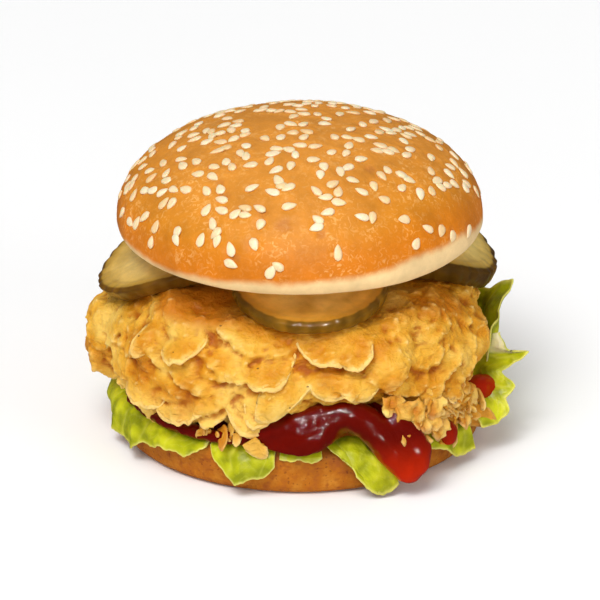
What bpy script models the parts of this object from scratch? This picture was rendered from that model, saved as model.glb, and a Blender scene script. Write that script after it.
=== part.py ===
"""Chicken burger: a seeded bun crown, three pickle slices, a fried chicken fillet, a layer of red
sauce, nine pieces of leaf lettuce and the bun's heel.

Sizes are in millimetres and angles in degrees. Angle 0 is +X, the burger's right, and 270 is -Y,
its front. The finished solids are scaled to metres and hang on one empty, whose place puts the
middle of the burger's base at the origin.
"""

import math

import bmesh
import bpy
from mathutils import Matrix, Vector, noise

MM = 0.001
GAP = 0.4  # clear space between neighbouring pieces

# Heel: the flat-topped lower half of the bun.
HEEL_RADIUS = 51.2
HEEL_HEIGHT = 14.0
HEEL_TOP_RADIUS = 43.0  # where the flat top turns into the shoulder
HEEL_WIDEST_Z = 10.0
HEEL_FOOT_ROUND = 3.0
HEEL_FOOT_TAPER = 1.3
SHOULDER_RUN = 9.9  # length of the shoulder's quarter ellipse

# Crown: the domed upper half of the bun.
CROWN_RADIUS = 50.0
CROWN_DOME = 26.5  # from the widest ring up to the top
CROWN_SKIRT = 3.2  # from the widest ring down to the rim
CROWN_RIM_INSET = 1.6
CROWN_WIDEST_Z = 61.0
CROWN_TILT = 1.3  # front side down
CROWN_FULLNESS = 2.1  # exponent of the dome's section, where 2 is an ellipse

# Layers that lie on the heel.
LEAF_THICKNESS = 1.1
LEAF_LIFT = 0.95  # middle of a leaf above the heel's surface
LEAF_START = 22.0  # inner end of every leaf
SAUCE_LIFT = 1.9  # underside of the sauce above the heel's surface
SAUCE_DEPTH = 1.6
SAUCE_RUN = 49.4  # how far it reaches along the heel's surface
LAYER_RADII = (15.0, 26.0, 33.0, 39.0, 43.0)  # rings shared by the sauce and the chicken's underside
SAUCE_ROUND = 3.0  # length over which its end is rounded off
SAUCE_RIM = (0.45, 0.8, 1.0)  # rings from the last of those to the sauce's end

# Pickle slices: centre of the top face, radius, thickness and slope from front to back. A slice can
# droop over the chicken on one side, from a line that far from its centre.
PICKLES = {
    "pickle_centre": dict(x=2.7, y=-26.0, z=52.6, radius=21.2, thickness=3.6, slope=0.24,
                          side=0, droop=0.0, droop_from=0.0),
    "pickle_left": dict(x=-34.9, y=-6.5, z=56.2, radius=20.5, thickness=4.4, slope=0.11,
                        side=-1, droop=0.68, droop_from=-2.0),
    "pickle_right": dict(x=33.0, y=5.0, z=55.6, radius=21.2, thickness=5.6, slope=0.11,
                         side=1, droop=1.0, droop_from=5.0),
}
DROOP_BEND = 5.0  # length over which a slice bends down
PICKLE_CLEAR = 1.3  # from a slice's underside down to the chicken
SCALLOPS = 14
SCALLOP_DEPTH = 0.35

# Chicken: mean radius, and the lobes that push its outline in or out.
CHICKEN_RADIUS = 50.0
CHICKEN_LOBES = [  # angle, reach, half width
    (184, 9.5, 9), (202, 4.0, 10), (219, 5.0, 12), (237, 2.0, 9), (262, -2.0, 14),
    (297, 0.5, 9), (318, 2.5, 12), (5, -1.5, 24), (75, 1.5, 14), (118, 3.0, 16), (152, 1.0, 12),
]
CHICKEN_TOP = 56.5
CHICKEN_TOP_FALL = 10.5  # from the middle of the top out to its edge
CHICKEN_LUMP = 1.5
CHICKEN_FOLD = 2.4  # depth of the coating's folds on its side
CHICKEN_FOLD_SIZE = 11.0

SEGMENTS = 48  # round the bun
SPOKES = [4 * i for i in range(15)] + [60 + 7.5 * i for i in range(16)] + [180 + 4 * i for i in range(45)]


def smoothstep(low, high, value):
    t = min(max((value - low) / (high - low), 0.0), 1.0)
    return t * t * (3 - 2 * t)


def angle_between(a, b):
    """Signed smallest turn in degrees from b to a."""
    return (a - b + 180) % 360 - 180


def bump(angle, centre, half_width):
    """1 at the centre angle, fading to nothing about two half widths away."""
    return math.exp(-((angle_between(angle, centre) / half_width) ** 2))


def polar(radius, angle, z):
    turn = math.radians(angle)
    return Vector((radius * math.cos(turn), radius * math.sin(turn), z))


def wobble(x, y, z, seed, size):
    """Smooth noise between about -1 and 1, with lumps of the given size."""
    return noise.noise(Vector((x, y, z)) / size + Vector((seed, 2 * seed, 3 * seed)))


# Materials and objects


def material(name, colour, roughness):
    made = bpy.data.materials.new(name)
    made.use_nodes = True
    shader = made.node_tree.nodes["Principled BSDF"]
    shader.inputs["Base Color"].default_value = (*colour, 1.0)
    shader.inputs["Roughness"].default_value = roughness
    shader.inputs["Metallic"].default_value = 0.0
    made.diffuse_color = (*colour, 1.0)
    return made


def add_object(name, mesh_data, parent, finish):
    """Scales the bmesh to metres and hangs it on the parent as a smooth shaded object."""
    bmesh.ops.recalc_face_normals(mesh_data, faces=mesh_data.faces)
    bmesh.ops.scale(mesh_data, vec=(MM, MM, MM), verts=mesh_data.verts)
    mesh = bpy.data.meshes.new(name)
    mesh_data.to_mesh(mesh)
    mesh_data.free()
    mesh.shade_smooth()
    mesh.materials.append(finish)
    made = bpy.data.objects.new(name, mesh)
    bpy.context.scene.collection.objects.link(made)
    made.parent = parent
    return made


def closed_rings(rings, first_point, last_point):
    """A closed body through rings of points, with a fan to a single point at either end."""
    body = bmesh.new()
    rows = [[body.verts.new(point) for point in ring] for ring in rings]
    count = len(rows[0])
    for lower, upper in zip(rows, rows[1:]):
        for i in range(count):
            j = (i + 1) % count
            body.faces.new((lower[i], lower[j], upper[j], upper[i]))
    for row, point in ((rows[0], first_point), (rows[-1], last_point)):
        tip = body.verts.new(point)
        for i in range(count):
            body.faces.new((row[i], row[(i + 1) % count], tip))
    return body


def closed_shell(middle, thickness):
    """A closed sheet of even thickness around a grid of points, which is indexed [across][along]."""
    across, along = len(middle), len(middle[0])

    def normal(i, j):
        step_a = middle[min(i + 1, across - 1)][j] - middle[max(i - 1, 0)][j]
        step_b = middle[i][min(j + 1, along - 1)] - middle[i][max(j - 1, 0)]
        return step_a.cross(step_b).normalized()

    body = bmesh.new()
    sides = []
    for sign in (-0.5, 0.5):
        sides.append([[body.verts.new(middle[i][j] + normal(i, j) * sign * thickness)
                       for j in range(along)] for i in range(across)])
    for side in sides:
        for i in range(across - 1):
            for j in range(along - 1):
                body.faces.new((side[i][j], side[i + 1][j], side[i + 1][j + 1], side[i][j + 1]))
    edge = ([(i, 0) for i in range(across)] + [(across - 1, j) for j in range(1, along)]
            + [(i, along - 1) for i in range(across - 2, -1, -1)]
            + [(0, j) for j in range(along - 2, 0, -1)])
    for (i, j), (k, m) in zip(edge, edge[1:] + edge[:1]):
        body.faces.new((sides[0][i][j], sides[0][k][m], sides[1][k][m], sides[1][i][j]))
    return body


# The bun


def heel_side(z):
    """Radius of the heel between its foot and its widest ring."""
    below = (HEEL_WIDEST_Z - z) / HEEL_WIDEST_Z
    return HEEL_RADIUS - HEEL_FOOT_TAPER * below ** 2


def heel_profile():
    """Radius and height from the foot's flat face up the side and in over the flat top."""
    foot = heel_side(HEEL_FOOT_ROUND) - HEEL_FOOT_ROUND
    points = [(foot * 0.5, 0.0), (foot, 0.0)]
    for turn in (30, 60, 90):
        points.append((foot + HEEL_FOOT_ROUND * math.sin(math.radians(turn)),
                       HEEL_FOOT_ROUND * (1 - math.cos(math.radians(turn)))))
    points.append((heel_side(6.5), 6.5))
    for turn in (90, 66, 44, 22, 0):
        points.append(drape(HEEL_TOP_RADIUS + SHOULDER_RUN * turn / 90, 0.0))
    points.append((HEEL_TOP_RADIUS * 0.5, HEEL_HEIGHT))
    return points


def drape(run, lift):
    """Radius and height of a point that far along the heel's surface from its axis, and off it."""
    if run <= HEEL_TOP_RADIUS:
        return run, HEEL_HEIGHT + lift
    shoulder = HEEL_RADIUS - HEEL_TOP_RADIUS
    rise = HEEL_HEIGHT - HEEL_WIDEST_Z
    over = run - HEEL_TOP_RADIUS
    turn = min(over / SHOULDER_RUN, 1.0) * math.pi / 2
    out = Vector((math.sin(turn) / shoulder, math.cos(turn) / rise)).normalized()
    return (HEEL_TOP_RADIUS + shoulder * math.sin(turn) + lift * out.x,
            HEEL_WIDEST_Z + rise * math.cos(turn) + lift * out.y - max(over - SHOULDER_RUN, 0.0))


def on_heel(run, lift, angle):
    radius, z = drape(run, lift)
    return polar(radius, angle, z)


def make_heel(parent):
    rings = []
    for radius, z in heel_profile():
        loose = smoothstep(0.0, 6.0, z)  # the foot stays round and flat
        ring = []
        for i in range(SEGMENTS):
            angle = 360 * i / SEGMENTS
            spot = polar(radius, angle, z)
            swell = 1 - 0.012 * loose * (0.5 + 0.5 * wobble(*spot, 4.0, 30.0))
            ring.append(polar(radius * swell, angle, z))
        rings.append(ring)
    body = closed_rings(rings, Vector((0, 0, 0)), Vector((0, 0, HEEL_HEIGHT)))
    add_object("heel", body, parent, material("heel_crust", (0.50, 0.16, 0.03), 0.6))


def crown_profile():
    """Radius and height above the widest ring: underside, rim, skirt, then dome."""
    rim = CROWN_RADIUS - CROWN_RIM_INSET
    under = -CROWN_SKIRT + 0.6
    points = [(rim * 0.55, under), (rim - 4.0, under), (rim - 2.0, under - 0.3), (rim - 0.6, -CROWN_SKIRT),
              (rim + 0.7, -CROWN_SKIRT + 0.9), (CROWN_RADIUS - 0.2, -0.9)]
    for turn in (4, 15, 27, 40, 52, 64, 75, 84):
        side = math.cos(math.radians(turn)) ** (2 / CROWN_FULLNESS)
        rise = math.sin(math.radians(turn)) ** (2 / CROWN_FULLNESS)
        points.append((CROWN_RADIUS * side, CROWN_DOME * rise))
    return points


def tilt_crown(point):
    """Turns a point of the upright crown about the X axis through its widest ring."""
    turned = Matrix.Rotation(math.radians(CROWN_TILT), 3, "X") @ point
    return turned + Vector((0, 0, CROWN_WIDEST_Z))


def crown_underside(y):
    return CROWN_WIDEST_Z - CROWN_SKIRT + y * math.sin(math.radians(CROWN_TILT))


def make_crown(parent):
    rings = []
    for radius, z in crown_profile():
        ring = []
        for i in range(SEGMENTS):
            angle = 360 * i / SEGMENTS
            spot = polar(radius, angle, z)
            swell = 1 + 0.008 * wobble(*spot, 7.0, 32.0)
            dent = 0.5 * wobble(*spot, 9.0, 22.0) * smoothstep(0.0, 10.0, z)
            ring.append(tilt_crown(polar(radius * swell, angle, z + dent)))
        rings.append(ring)
    under = tilt_crown(Vector((0, 0, -CROWN_SKIRT + 0.6)))
    top = tilt_crown(Vector((0, 0, CROWN_DOME)))
    add_object("crown", closed_rings(rings, under, top), parent,
               material("crown_crust", (0.72, 0.26, 0.04), 0.35))


# Pickle slices


def pickle_top(slice_of, x, y):
    """Height of a slice's top face, limited by the crown that lies on it."""
    past = max(slice_of["side"] * (x - slice_of["x"]) - slice_of["droop_from"], 0.0)
    height = slice_of["z"] + slice_of["slope"] * (y - slice_of["y"])
    height -= slice_of["droop"] * past ** 2 / (past + DROOP_BEND)
    return min(height, crown_underside(y) - GAP)


def make_pickles(parent):
    finish = material("pickle_flesh", (0.42, 0.28, 0.07), 0.25)
    for name, slice_of in PICKLES.items():
        depth = slice_of["thickness"]
        rings = []
        for reach, down in ((0.45, depth), (0.8, depth), (0.975, depth), (1.0, depth * 0.75),
                            (1.0, depth * 0.25), (0.975, 0.0), (0.8, 0.0), (0.45, 0.0)):
            ring = []
            for i in range(2 * SCALLOPS):
                angle = 180 * i / SCALLOPS
                scallop = SCALLOP_DEPTH * (-1) ** i * smoothstep(0.8, 1.0, reach)
                flat = polar(slice_of["radius"] * reach + scallop, angle, 0.0)
                x, y = slice_of["x"] + flat.x, slice_of["y"] + flat.y
                ring.append(Vector((x, y, pickle_top(slice_of, x, y) - down)))
            rings.append(ring)
        x, y = slice_of["x"], slice_of["y"]
        top = pickle_top(slice_of, x, y)
        body = closed_rings(rings, Vector((x, y, top - depth)), Vector((x, y, top)))
        add_object(name, body, parent, finish.copy())


# Sauce


def sauce_run(angle):
    """How far the sauce reaches along the heel's surface. It stops short of the standing leaf."""
    reach = SAUCE_RUN + 1.6 * bump(angle, 270, 9) - 2.5 * bump(angle, 285, 5)
    reach += 10.8 * bump(angle, 300.5, 4.4) - 1.5 * bump(angle, 190, 12)
    reach -= 5.5 * bump(angle, 321, 12) + 5.5 * smoothstep(38.0, 30.0, abs(angle_between(angle, 20)))
    return reach + 0.8 * math.sin(math.radians(5 * angle + 20)) * bump(angle, 110, 60)


def sauce_depth(run, angle):
    """Thickness: thin in the middle, a deep mound near the front right rim, and a blob at the right."""
    near_rim = smoothstep(25.0, HEEL_TOP_RADIUS, run)
    mound = 6.5 * bump(angle, 279, 14) + 3.5 * bump(angle, 300, 9) + 3.2 * bump(angle, 342, 6)
    return SAUCE_DEPTH + near_rim * mound


def make_sauce(parent):
    rows = [(radius, 0.0) for radius in LAYER_RADII] + [(HEEL_TOP_RADIUS, share) for share in SAUCE_RIM]
    under, over = [], []
    for start, share in rows:
        low, high = [], []
        for angle in SPOKES:
            end = sauce_run(angle)
            run = start + (end - HEEL_TOP_RADIUS) * share
            round_off = max(run - (end - SAUCE_ROUND), 0.0) / SAUCE_ROUND
            taper = math.sqrt(max(1 - round_off ** 2, 0.0))
            hang = smoothstep(51.5, 54.5, run)
            lift = SAUCE_LIFT - (SAUCE_LIFT - GAP - 0.3) * hang
            depth = sauce_depth(run, angle) * (1 - 0.45 * hang)
            low.append(on_heel(run, lift + 0.28 * depth * (1 - taper), angle))
            high.append(on_heel(run, lift + 0.5 * depth * (1 + taper), angle))
        under.append(low)
        over.append(high)
    middle = HEEL_HEIGHT + SAUCE_LIFT
    body = closed_rings(under + over[::-1], Vector((0, 0, middle)),
                        Vector((0, 0, middle + SAUCE_DEPTH)))
    add_object("sauce", body, parent, material("red_sauce", (0.16, 0.008, 0.004), 0.12))


# Chicken


def chicken_radius(angle):
    return CHICKEN_RADIUS + sum(reach * bump(angle, at, width) for at, reach, width in CHICKEN_LOBES)


def chicken_floor(radius, angle):
    """Underside: just above the sauce, and level past the heel's flat top."""
    depth = sauce_depth(min(radius, HEEL_TOP_RADIUS), angle)
    return HEEL_HEIGHT + SAUCE_LIFT + depth + GAP


def chicken_lip(angle):
    """How far the coating hangs below the underside at the rim: ragged shreds at the front right."""
    return 2.2 * bump(angle, 321, 7)


def chicken_ceiling(x, y):
    """Top: a lumpy dome pressed flat under the crown and the pickles, and higher towards the back."""
    fall = CHICKEN_TOP_FALL * (1 - 0.5 * smoothstep(-10.0, 30.0, y))
    height = CHICKEN_TOP - fall * smoothstep(20.0, 47.0, math.hypot(x, y))
    height += CHICKEN_LUMP * wobble(x, y, 0.0, 11.0, 13.0)
    height = min(height, crown_underside(y) - GAP)
    for slice_of in PICKLES.values():
        away = math.hypot(x - slice_of["x"], y - slice_of["y"]) - slice_of["radius"]
        if away < 6.0:
            pressed = pickle_top(slice_of, x, y) - slice_of["thickness"] - PICKLE_CLEAR
            height = min(height, pressed + 0.4 * max(away - 3.0, 0.0) ** 2)
    return height


def make_chicken(parent):
    under, wall, over = [], [], []
    spokes = SPOKES
    for radius in LAYER_RADII:
        under.append([polar(radius, a, chicken_floor(radius, a)) for a in spokes])
    edge = [chicken_radius(a) * 0.9 + 2.6 * bump(a, 321, 7) for a in spokes]
    under.append([polar(e, a, chicken_floor(e, a) - chicken_lip(a)) for a, e in zip(spokes, edge)])
    shoulder = [0.88 * chicken_radius(a) for a in spokes]
    tops = [polar(s, a, chicken_ceiling(*polar(s, a, 0).xy)) for a, s in zip(spokes, shoulder)]
    for level in (0.06, 0.22, 0.42, 0.62, 0.8, 0.94):
        ring = []
        for low, high, angle in zip(under[-1], tops, spokes):
            z = low.z + (high.z - low.z) * level
            bulge = (1 - abs(2 * level - 0.92) ** 2.6) * 0.115 + 0.885
            radius = chicken_radius(angle) * bulge
            radius += CHICKEN_FOLD * wobble(*polar(radius, angle, 1.6 * z), 5.0, CHICKEN_FOLD_SIZE)
            ring.append(polar(radius, angle, z))
        wall.append(ring)
    for part_of in (1.0, 0.9, 0.76, 0.6, 0.42, 0.22):
        over.append([polar(s * part_of, a, chicken_ceiling(*polar(s * part_of, a, 0).xy))
                     for a, s in zip(spokes, shoulder)])
    body = closed_rings(under + wall + over, Vector((0, 0, chicken_floor(0, 0))),
                        Vector((0, 0, chicken_ceiling(0, 0))))
    add_object("chicken", body, parent, material("fried_coating", (0.70, 0.33, 0.06), 0.55))


# Lettuce


def leaf_run(last, along):
    """Steps outward along a leaf: a quarter of them cross the flat of the heel, the rest its shoulder."""
    return (LEAF_START + (HEEL_TOP_RADIUS - 1.0 - LEAF_START) * min(4 * along, 1.0)
            + (last - HEEL_TOP_RADIUS + 1.0) * max(along - 0.25, 0.0) / 0.75)


def leaf_hang(tip_z, sides=0.0, flare=0.0):
    """A leaf that lies on the heel and hangs over its edge, down to a tip at that height."""
    end = HEEL_TOP_RADIUS + SHOULDER_RUN + HEEL_WIDEST_Z - tip_z

    def path(across, along):
        last = end - sides * abs(2 * across - 1) ** 2.5
        run = leaf_run(last, along)
        return drape(run, LEAF_LIFT + flare * smoothstep(49.0, 61.0, run))

    return path


def leaf_rise(height, lean, sides=0.0):
    """A leaf that lies on the heel and then stands up along the chicken's side."""
    turn_at = 47.3
    turn_radius = 3.5

    def path(across, along):
        tall = height - sides * abs(2 * across - 1) ** 2
        arc = turn_radius * math.pi / 2
        run = leaf_run(turn_at + arc + tall, along)
        level = drape(min(run, turn_at), LEAF_LIFT)
        turn = min(max(run - turn_at, 0.0), arc) / turn_radius
        climb = max(run - turn_at - arc, 0.0)
        return (level[0] + turn_radius * math.sin(turn) + lean * climb,
                level[1] + turn_radius * (1 - math.cos(turn)) + climb)

    return path


def leaf_spread(end, rise):
    """A leaf that lies on the heel and sticks out past its edge, curled up at one side."""
    edge = 50.3

    def path(across, along):
        run = leaf_run(end, along)
        out = max(run - edge, 0.0)
        level = drape(min(run, edge), LEAF_LIFT)
        tuck = rise * (1.5 * across - 0.4) * (out / (end - edge)) ** 1.5
        return level[0] + out * 0.97, level[1] + tuck

    return path


# Name: first angle, last angle, slant, path, ruffles, ruffle height, cells across, cells along.
LEAVES = {
    "lettuce_left": (174, 241, 0, leaf_hang(3.6, sides=3.0, flare=0.2), 4.5, 1.0, 18, 8),
    "lettuce_front": (243, 262, 0, leaf_hang(3.8, sides=4.5, flare=0.6), 1.0, 1.2, 6, 8),
    "lettuce_fringe": (264, 276.5, 0, leaf_hang(9.6, sides=1.5), 1.0, 0.4, 4, 6),
    "lettuce_tongue": (278.5, 289, 7, leaf_hang(0.9, sides=3.0, flare=3.4), 0.6, 1.0, 4, 8),
    "lettuce_right_front": (308, 325, 0, leaf_hang(5.6, sides=3.0, flare=0.8), 1.2, 1.4, 6, 8),
    "lettuce_right_curl": (327, 350, 0, leaf_spread(60.8, 6.5), 1.5, 1.2, 8, 8),
    "lettuce_right": (352, 403, 0, leaf_rise(19.0, 0.1, sides=5.0), 2.5, 1.5, 12, 9),
    "lettuce_back": (48, 108, 0, leaf_hang(4.8, sides=3.0, flare=0.8), 4.0, 1.7, 15, 7),
    "lettuce_back_left": (112, 170, 0, leaf_hang(3.8, sides=3.5, flare=0.6), 3.5, 1.5, 15, 7),
}


def make_lettuce(parent):
    finish = material("lettuce_leaf", (0.40, 0.48, 0.03), 0.4)
    for name, (first, last, slant, path, ruffles, height, cells_across, cells_along) in LEAVES.items():
        middle = []
        for i in range(cells_across + 1):
            across = i / cells_across
            wave = 0.5 - 0.5 * math.cos(2 * math.pi * ruffles * across)
            strand = []
            for j in range(cells_along + 1):
                along = j / cells_along
                angle = first + (last - first) * across + slant * smoothstep(0.4, 1.0, along)
                radius, z = path(across, along)
                free = smoothstep(0.5, 1.0, along) * smoothstep(49.5, 52.5, radius)
                strand.append(polar(radius + height * wave * free, angle, z))
            middle.append(strand)
        add_object(name, closed_shell(middle, LEAF_THICKNESS), parent, finish.copy())


def centre_on_base(parent):
    """Moves the parent so that the burger's box stands centred on the origin."""
    corners = [child.matrix_world @ vertex.co for child in parent.children for vertex in child.data.vertices]
    low = [min(corner[axis] for corner in corners) for axis in range(3)]
    high = [max(corner[axis] for corner in corners) for axis in range(3)]
    parent.location = (-(low[0] + high[0]) / 2, -(low[1] + high[1]) / 2, -low[2])


def main():
    for existing in list(bpy.data.objects):
        bpy.data.objects.remove(existing, do_unlink=True)
    burger = bpy.data.objects.new("burger", None)
    bpy.context.scene.collection.objects.link(burger)
    make_heel(burger)
    make_lettuce(burger)
    make_sauce(burger)
    make_chicken(burger)
    make_pickles(burger)
    make_crown(burger)
    bpy.context.view_layer.update()
    centre_on_base(burger)


main()
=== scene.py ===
import itertools
import math

import bpy
import numpy as np
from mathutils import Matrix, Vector
from mathutils.bvhtree import BVHTree


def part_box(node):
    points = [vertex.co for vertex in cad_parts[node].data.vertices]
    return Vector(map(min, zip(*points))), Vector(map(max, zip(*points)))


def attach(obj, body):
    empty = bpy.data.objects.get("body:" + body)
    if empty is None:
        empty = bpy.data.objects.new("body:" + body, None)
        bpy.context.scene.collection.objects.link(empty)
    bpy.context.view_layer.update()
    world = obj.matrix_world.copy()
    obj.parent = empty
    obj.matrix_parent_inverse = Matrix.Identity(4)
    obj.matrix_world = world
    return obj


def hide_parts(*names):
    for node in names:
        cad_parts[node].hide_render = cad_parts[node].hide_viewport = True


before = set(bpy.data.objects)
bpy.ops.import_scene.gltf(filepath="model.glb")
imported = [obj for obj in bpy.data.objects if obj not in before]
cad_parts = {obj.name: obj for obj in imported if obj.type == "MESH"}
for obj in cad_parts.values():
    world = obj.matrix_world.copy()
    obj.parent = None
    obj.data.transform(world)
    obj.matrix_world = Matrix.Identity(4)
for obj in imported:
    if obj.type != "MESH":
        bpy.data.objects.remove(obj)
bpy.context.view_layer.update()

# Sizes are in millimetres from the bun's axis, on the ground.
# Angle 0 is the burger's right and 270 its front.
mm = 0.001
heelLow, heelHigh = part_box("heel")
axisSpot = np.array([(heelLow.x + heelHigh.x) / 2, (heelLow.y + heelHigh.y) / 2, 0.0]) / mm
heelRadius = (heelHigh.x - heelLow.x) / 2 / mm
heelHeight = heelHigh.z / mm


def unit(value):
    return np.clip(value, 0, 1)


def smooth(low, high, value):
    t = unit((np.asarray(value, float) - low) / (high - low))
    return t * t * (3 - 2 * t)


def bell(away, width):
    return np.exp(-(away / width) ** 2)


def turnGap(a, b):
    return (a - b + 180) % 360 - 180


def bump(angle, centre, halfWidth):
    return bell(turnGap(angle, centre), halfWidth)


def turnsOf(count):
    return np.arange(count) * 360 / count


def fromAxis(points):
    return np.hypot(points[..., 0], points[..., 1])


# an even spread of numbers from 0 to 1, one for each whole-number corner
def lattice(corners, seed):
    c = corners.astype(np.int64).astype(np.uint64)
    n = c[..., 0] * np.uint64(73856093) ^ c[..., 1] * np.uint64(19349663)
    n = (n ^ c[..., 2] * np.uint64(83492791) ^ np.uint64(seed * 7919 + 13)) & np.uint64(0xffffffff)
    for shift, factor in ((15, 2246822519), (13, 3266489917)):
        n = ((n ^ (n >> np.uint64(shift))) * np.uint64(factor)) & np.uint64(0xffffffff)
    return (n ^ (n >> np.uint64(16))).astype(float) / 2 ** 32


# smooth noise from about -1 to 1, with lumps of that size
def noise(points, size, seed=0):
    p = np.asarray(points, float) / size + seed * 17.31
    base = np.floor(p)
    f = p - base
    w = f ** 3 * (f * (f * 6 - 15) + 10)
    total = 0
    for corner in itertools.product((0, 1), repeat=3):
        c = np.array(corner)
        h = lattice(base + c, seed)
        gradient = (h[..., None] * np.array([1, 127.1, 311.7])) % 1 * 2 - 1
        weight = np.prod(np.where(c == 1, w, 1 - w), axis=-1)
        total = total + weight * ((f - c) * gradient).sum(-1)
    return total * 1.7


# noise with finer and weaker noise over it
def rough(points, size, seed=0, octaves=3):
    return sum(0.5 ** step * noise(points, size / 2 ** step, seed + step) for step in range(octaves))


# sharp crests that wander through space
def ridges(points, size, seed):
    return (1 - np.abs(noise(points, size, seed))) ** 3


# noise along one direction only
def lineNoise(along, size, seed):
    return noise(np.stack([along, 0 * along, 0 * along], axis=-1), size, seed)


# distances to the nearest and second nearest of scattered points, and the nearest one's own number
def pillows(points, size, seed=0):
    p = np.asarray(points, float) / size
    base = np.floor(p)
    first = np.full(p.shape[:-1], 9.0)
    second = first.copy()
    tag = np.zeros(p.shape[:-1])
    for corner in itertools.product((-1, 0, 1), repeat=3):
        cell = base + np.array(corner)
        spot = cell + np.stack([lattice(cell, seed + k) for k in range(3)], axis=-1)
        away = np.sqrt(((p - spot) ** 2).sum(-1))
        nearer = away < first
        second = np.where(nearer, first, np.minimum(second, away))
        tag = np.where(nearer, lattice(cell, seed + 5), tag)
        first = np.where(nearer, away, first)
    return first, second, tag


# blurs a table of values along its rows and columns
def soften(table, across, along, wrap=True):
    out = np.array(table, float)
    for axis, width in ((0, across), (1, along)):
        if width <= 0:
            continue
        reach = int(math.ceil(width * 2.5))
        kernel = np.exp(-0.5 * (np.arange(-reach, reach + 1) / width) ** 2)
        kernel /= kernel.sum()
        pad = [(0, 0)] * out.ndim
        pad[axis] = (reach, reach)
        padded = np.pad(out, pad, mode="wrap" if axis == 1 and wrap else "edge")
        total = 0
        for k, share in enumerate(kernel):
            total = total + share * np.take(padded, range(k, k + out.shape[axis]), axis)
        out = total
    return out


def polar(radius, angle, z):
    turn = np.radians(angle)
    parts = np.broadcast_arrays(radius * np.cos(turn), radius * np.sin(turn), z)
    return np.stack(parts, axis=-1).astype(float)


def gridNormals(grid, wrap=True):
    if wrap:
        across = np.roll(grid, -1, axis=1) - np.roll(grid, 1, axis=1)
    else:
        across = np.gradient(grid, axis=1)
    n = np.cross(across, np.gradient(grid, axis=0))
    return n / np.maximum(np.linalg.norm(n, axis=-1, keepdims=True), 1e-9)


# turns the faces of a closed shape round if they point inwards
def facingOut(points, faces):
    volume = 0.0
    for part in faces:
        for k in range(1, part.shape[1] - 1):
            a, b, c = points[part[:, 0]], points[part[:, k]], points[part[:, k + 1]]
            volume += (np.cross(a, b) * c).sum()
    return faces if volume > 0 else [part[:, ::-1] for part in faces]


# collects points, faces and values per point for one joined mesh
class meshHeap:
    def __init__(self):
        self.points, self.faces, self.values, self.count = [], [], {}, 0

    def add(self, points, faces, **values):
        faces = facingOut(points - points.mean(axis=0), faces)
        self.faces += [part + self.count for part in faces]
        for name, value in values.items():
            self.values.setdefault(name, []).append(value.reshape(-1))
        self.points.append(points)
        self.count += len(points)

    # for a sheet, whose two sides share their values
    def addSheet(self, points, faces, **values):
        self.add(points, faces, **{key: np.tile(value.reshape(-1), 2) for key, value in values.items()})

    def build(self, name, finish, node):
        mesh = bpy.data.meshes.new(name)
        points = (np.concatenate(self.points) + axisSpot) * mm
        faces = [face for part in self.faces for face in part.tolist()]
        mesh.from_pydata(points.tolist(), [], faces)
        mesh.shade_smooth()
        for key, blocks in self.values.items():
            layer = mesh.attributes.new(key, "FLOAT", "POINT")
            layer.data.foreach_set("value", np.concatenate(blocks).astype(np.float32))
        mesh.materials.append(finish)
        made = bpy.data.objects.new(name, mesh)
        bpy.context.scene.collection.objects.link(made)
        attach(made, "root")
        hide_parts(node)
        print(f"{name}: {len(points)} points, {sum(len(f) - 2 for f in faces)} triangles")


def quads(rows, columns, wrap):
    index = np.arange(rows * columns).reshape(rows, columns)
    right = np.roll(index, -1, axis=1) if wrap else index[:, 1:]
    left = index if wrap else index[:, :-1]
    return np.stack([left[:-1], right[:-1], right[1:], left[1:]], axis=-1).reshape(-1, 4)


# values of a ring grid with one more for each closing point
def withCaps(table):
    flat = table.reshape(-1, *table.shape[2:])
    return np.concatenate([flat, table[:1].mean(axis=1), table[-1:].mean(axis=1)])


# points and faces of a ring grid whose first and last rows are closed by one added point each
def closedSkin(grid):
    rows, columns = grid.shape[:2]
    low = rows * columns
    last = low - columns
    ring = np.arange(columns)
    after = np.roll(ring, -1)
    start = np.stack([after, ring, np.full(columns, low)], axis=-1)
    end = np.stack([last + ring, last + after, np.full(columns, low + 1)], axis=-1)
    return withCaps(grid), [quads(rows, columns, True), start, end]


# points and faces of a closed thin sheet round a grid of points
def sheet(middle, thickness, outward=None):
    rows, columns = middle.shape[:2]
    normal = gridNormals(middle, wrap=False)
    if outward is not None:
        normal = normal * np.sign((normal * outward).sum(-1).mean())
    half = thickness[..., None] / 2 * normal
    index = np.arange(rows * columns).reshape(rows, columns)
    count = rows * columns
    body = quads(rows, columns, False)
    edge = np.concatenate([index[0], index[1:, -1], index[-1, -2::-1], index[-2:0:-1, 0]])
    after = np.roll(edge, -1)
    rim = np.stack([edge, after, after + count, edge + count], axis=-1)
    points = np.concatenate([(middle + half).reshape(-1, 3), (middle - half).reshape(-1, 3)])
    return points, [body[:, ::-1], body + count, rim]


def treeOf(node):
    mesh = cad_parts[node].data
    points = [tuple(np.array(v.co) / mm - axisSpot) for v in mesh.vertices]
    return BVHTree.FromPolygons(points, [tuple(p.vertices) for p in mesh.polygons])


# heights of a node's surface over a table of places, from above or from below
def heightsOf(tree, x, y, fromBelow=False):
    out = np.full(np.size(x), np.nan)
    start, way = (-50.0, 1.0) if fromBelow else (200.0, -1.0)
    for i, (px, py) in enumerate(zip(np.ravel(x), np.ravel(y))):
        hit = tree.ray_cast((px, py, start), (0, 0, way))[0]
        if hit is not None:
            out[i] = hit.z
    return out.reshape(np.shape(x))


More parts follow.
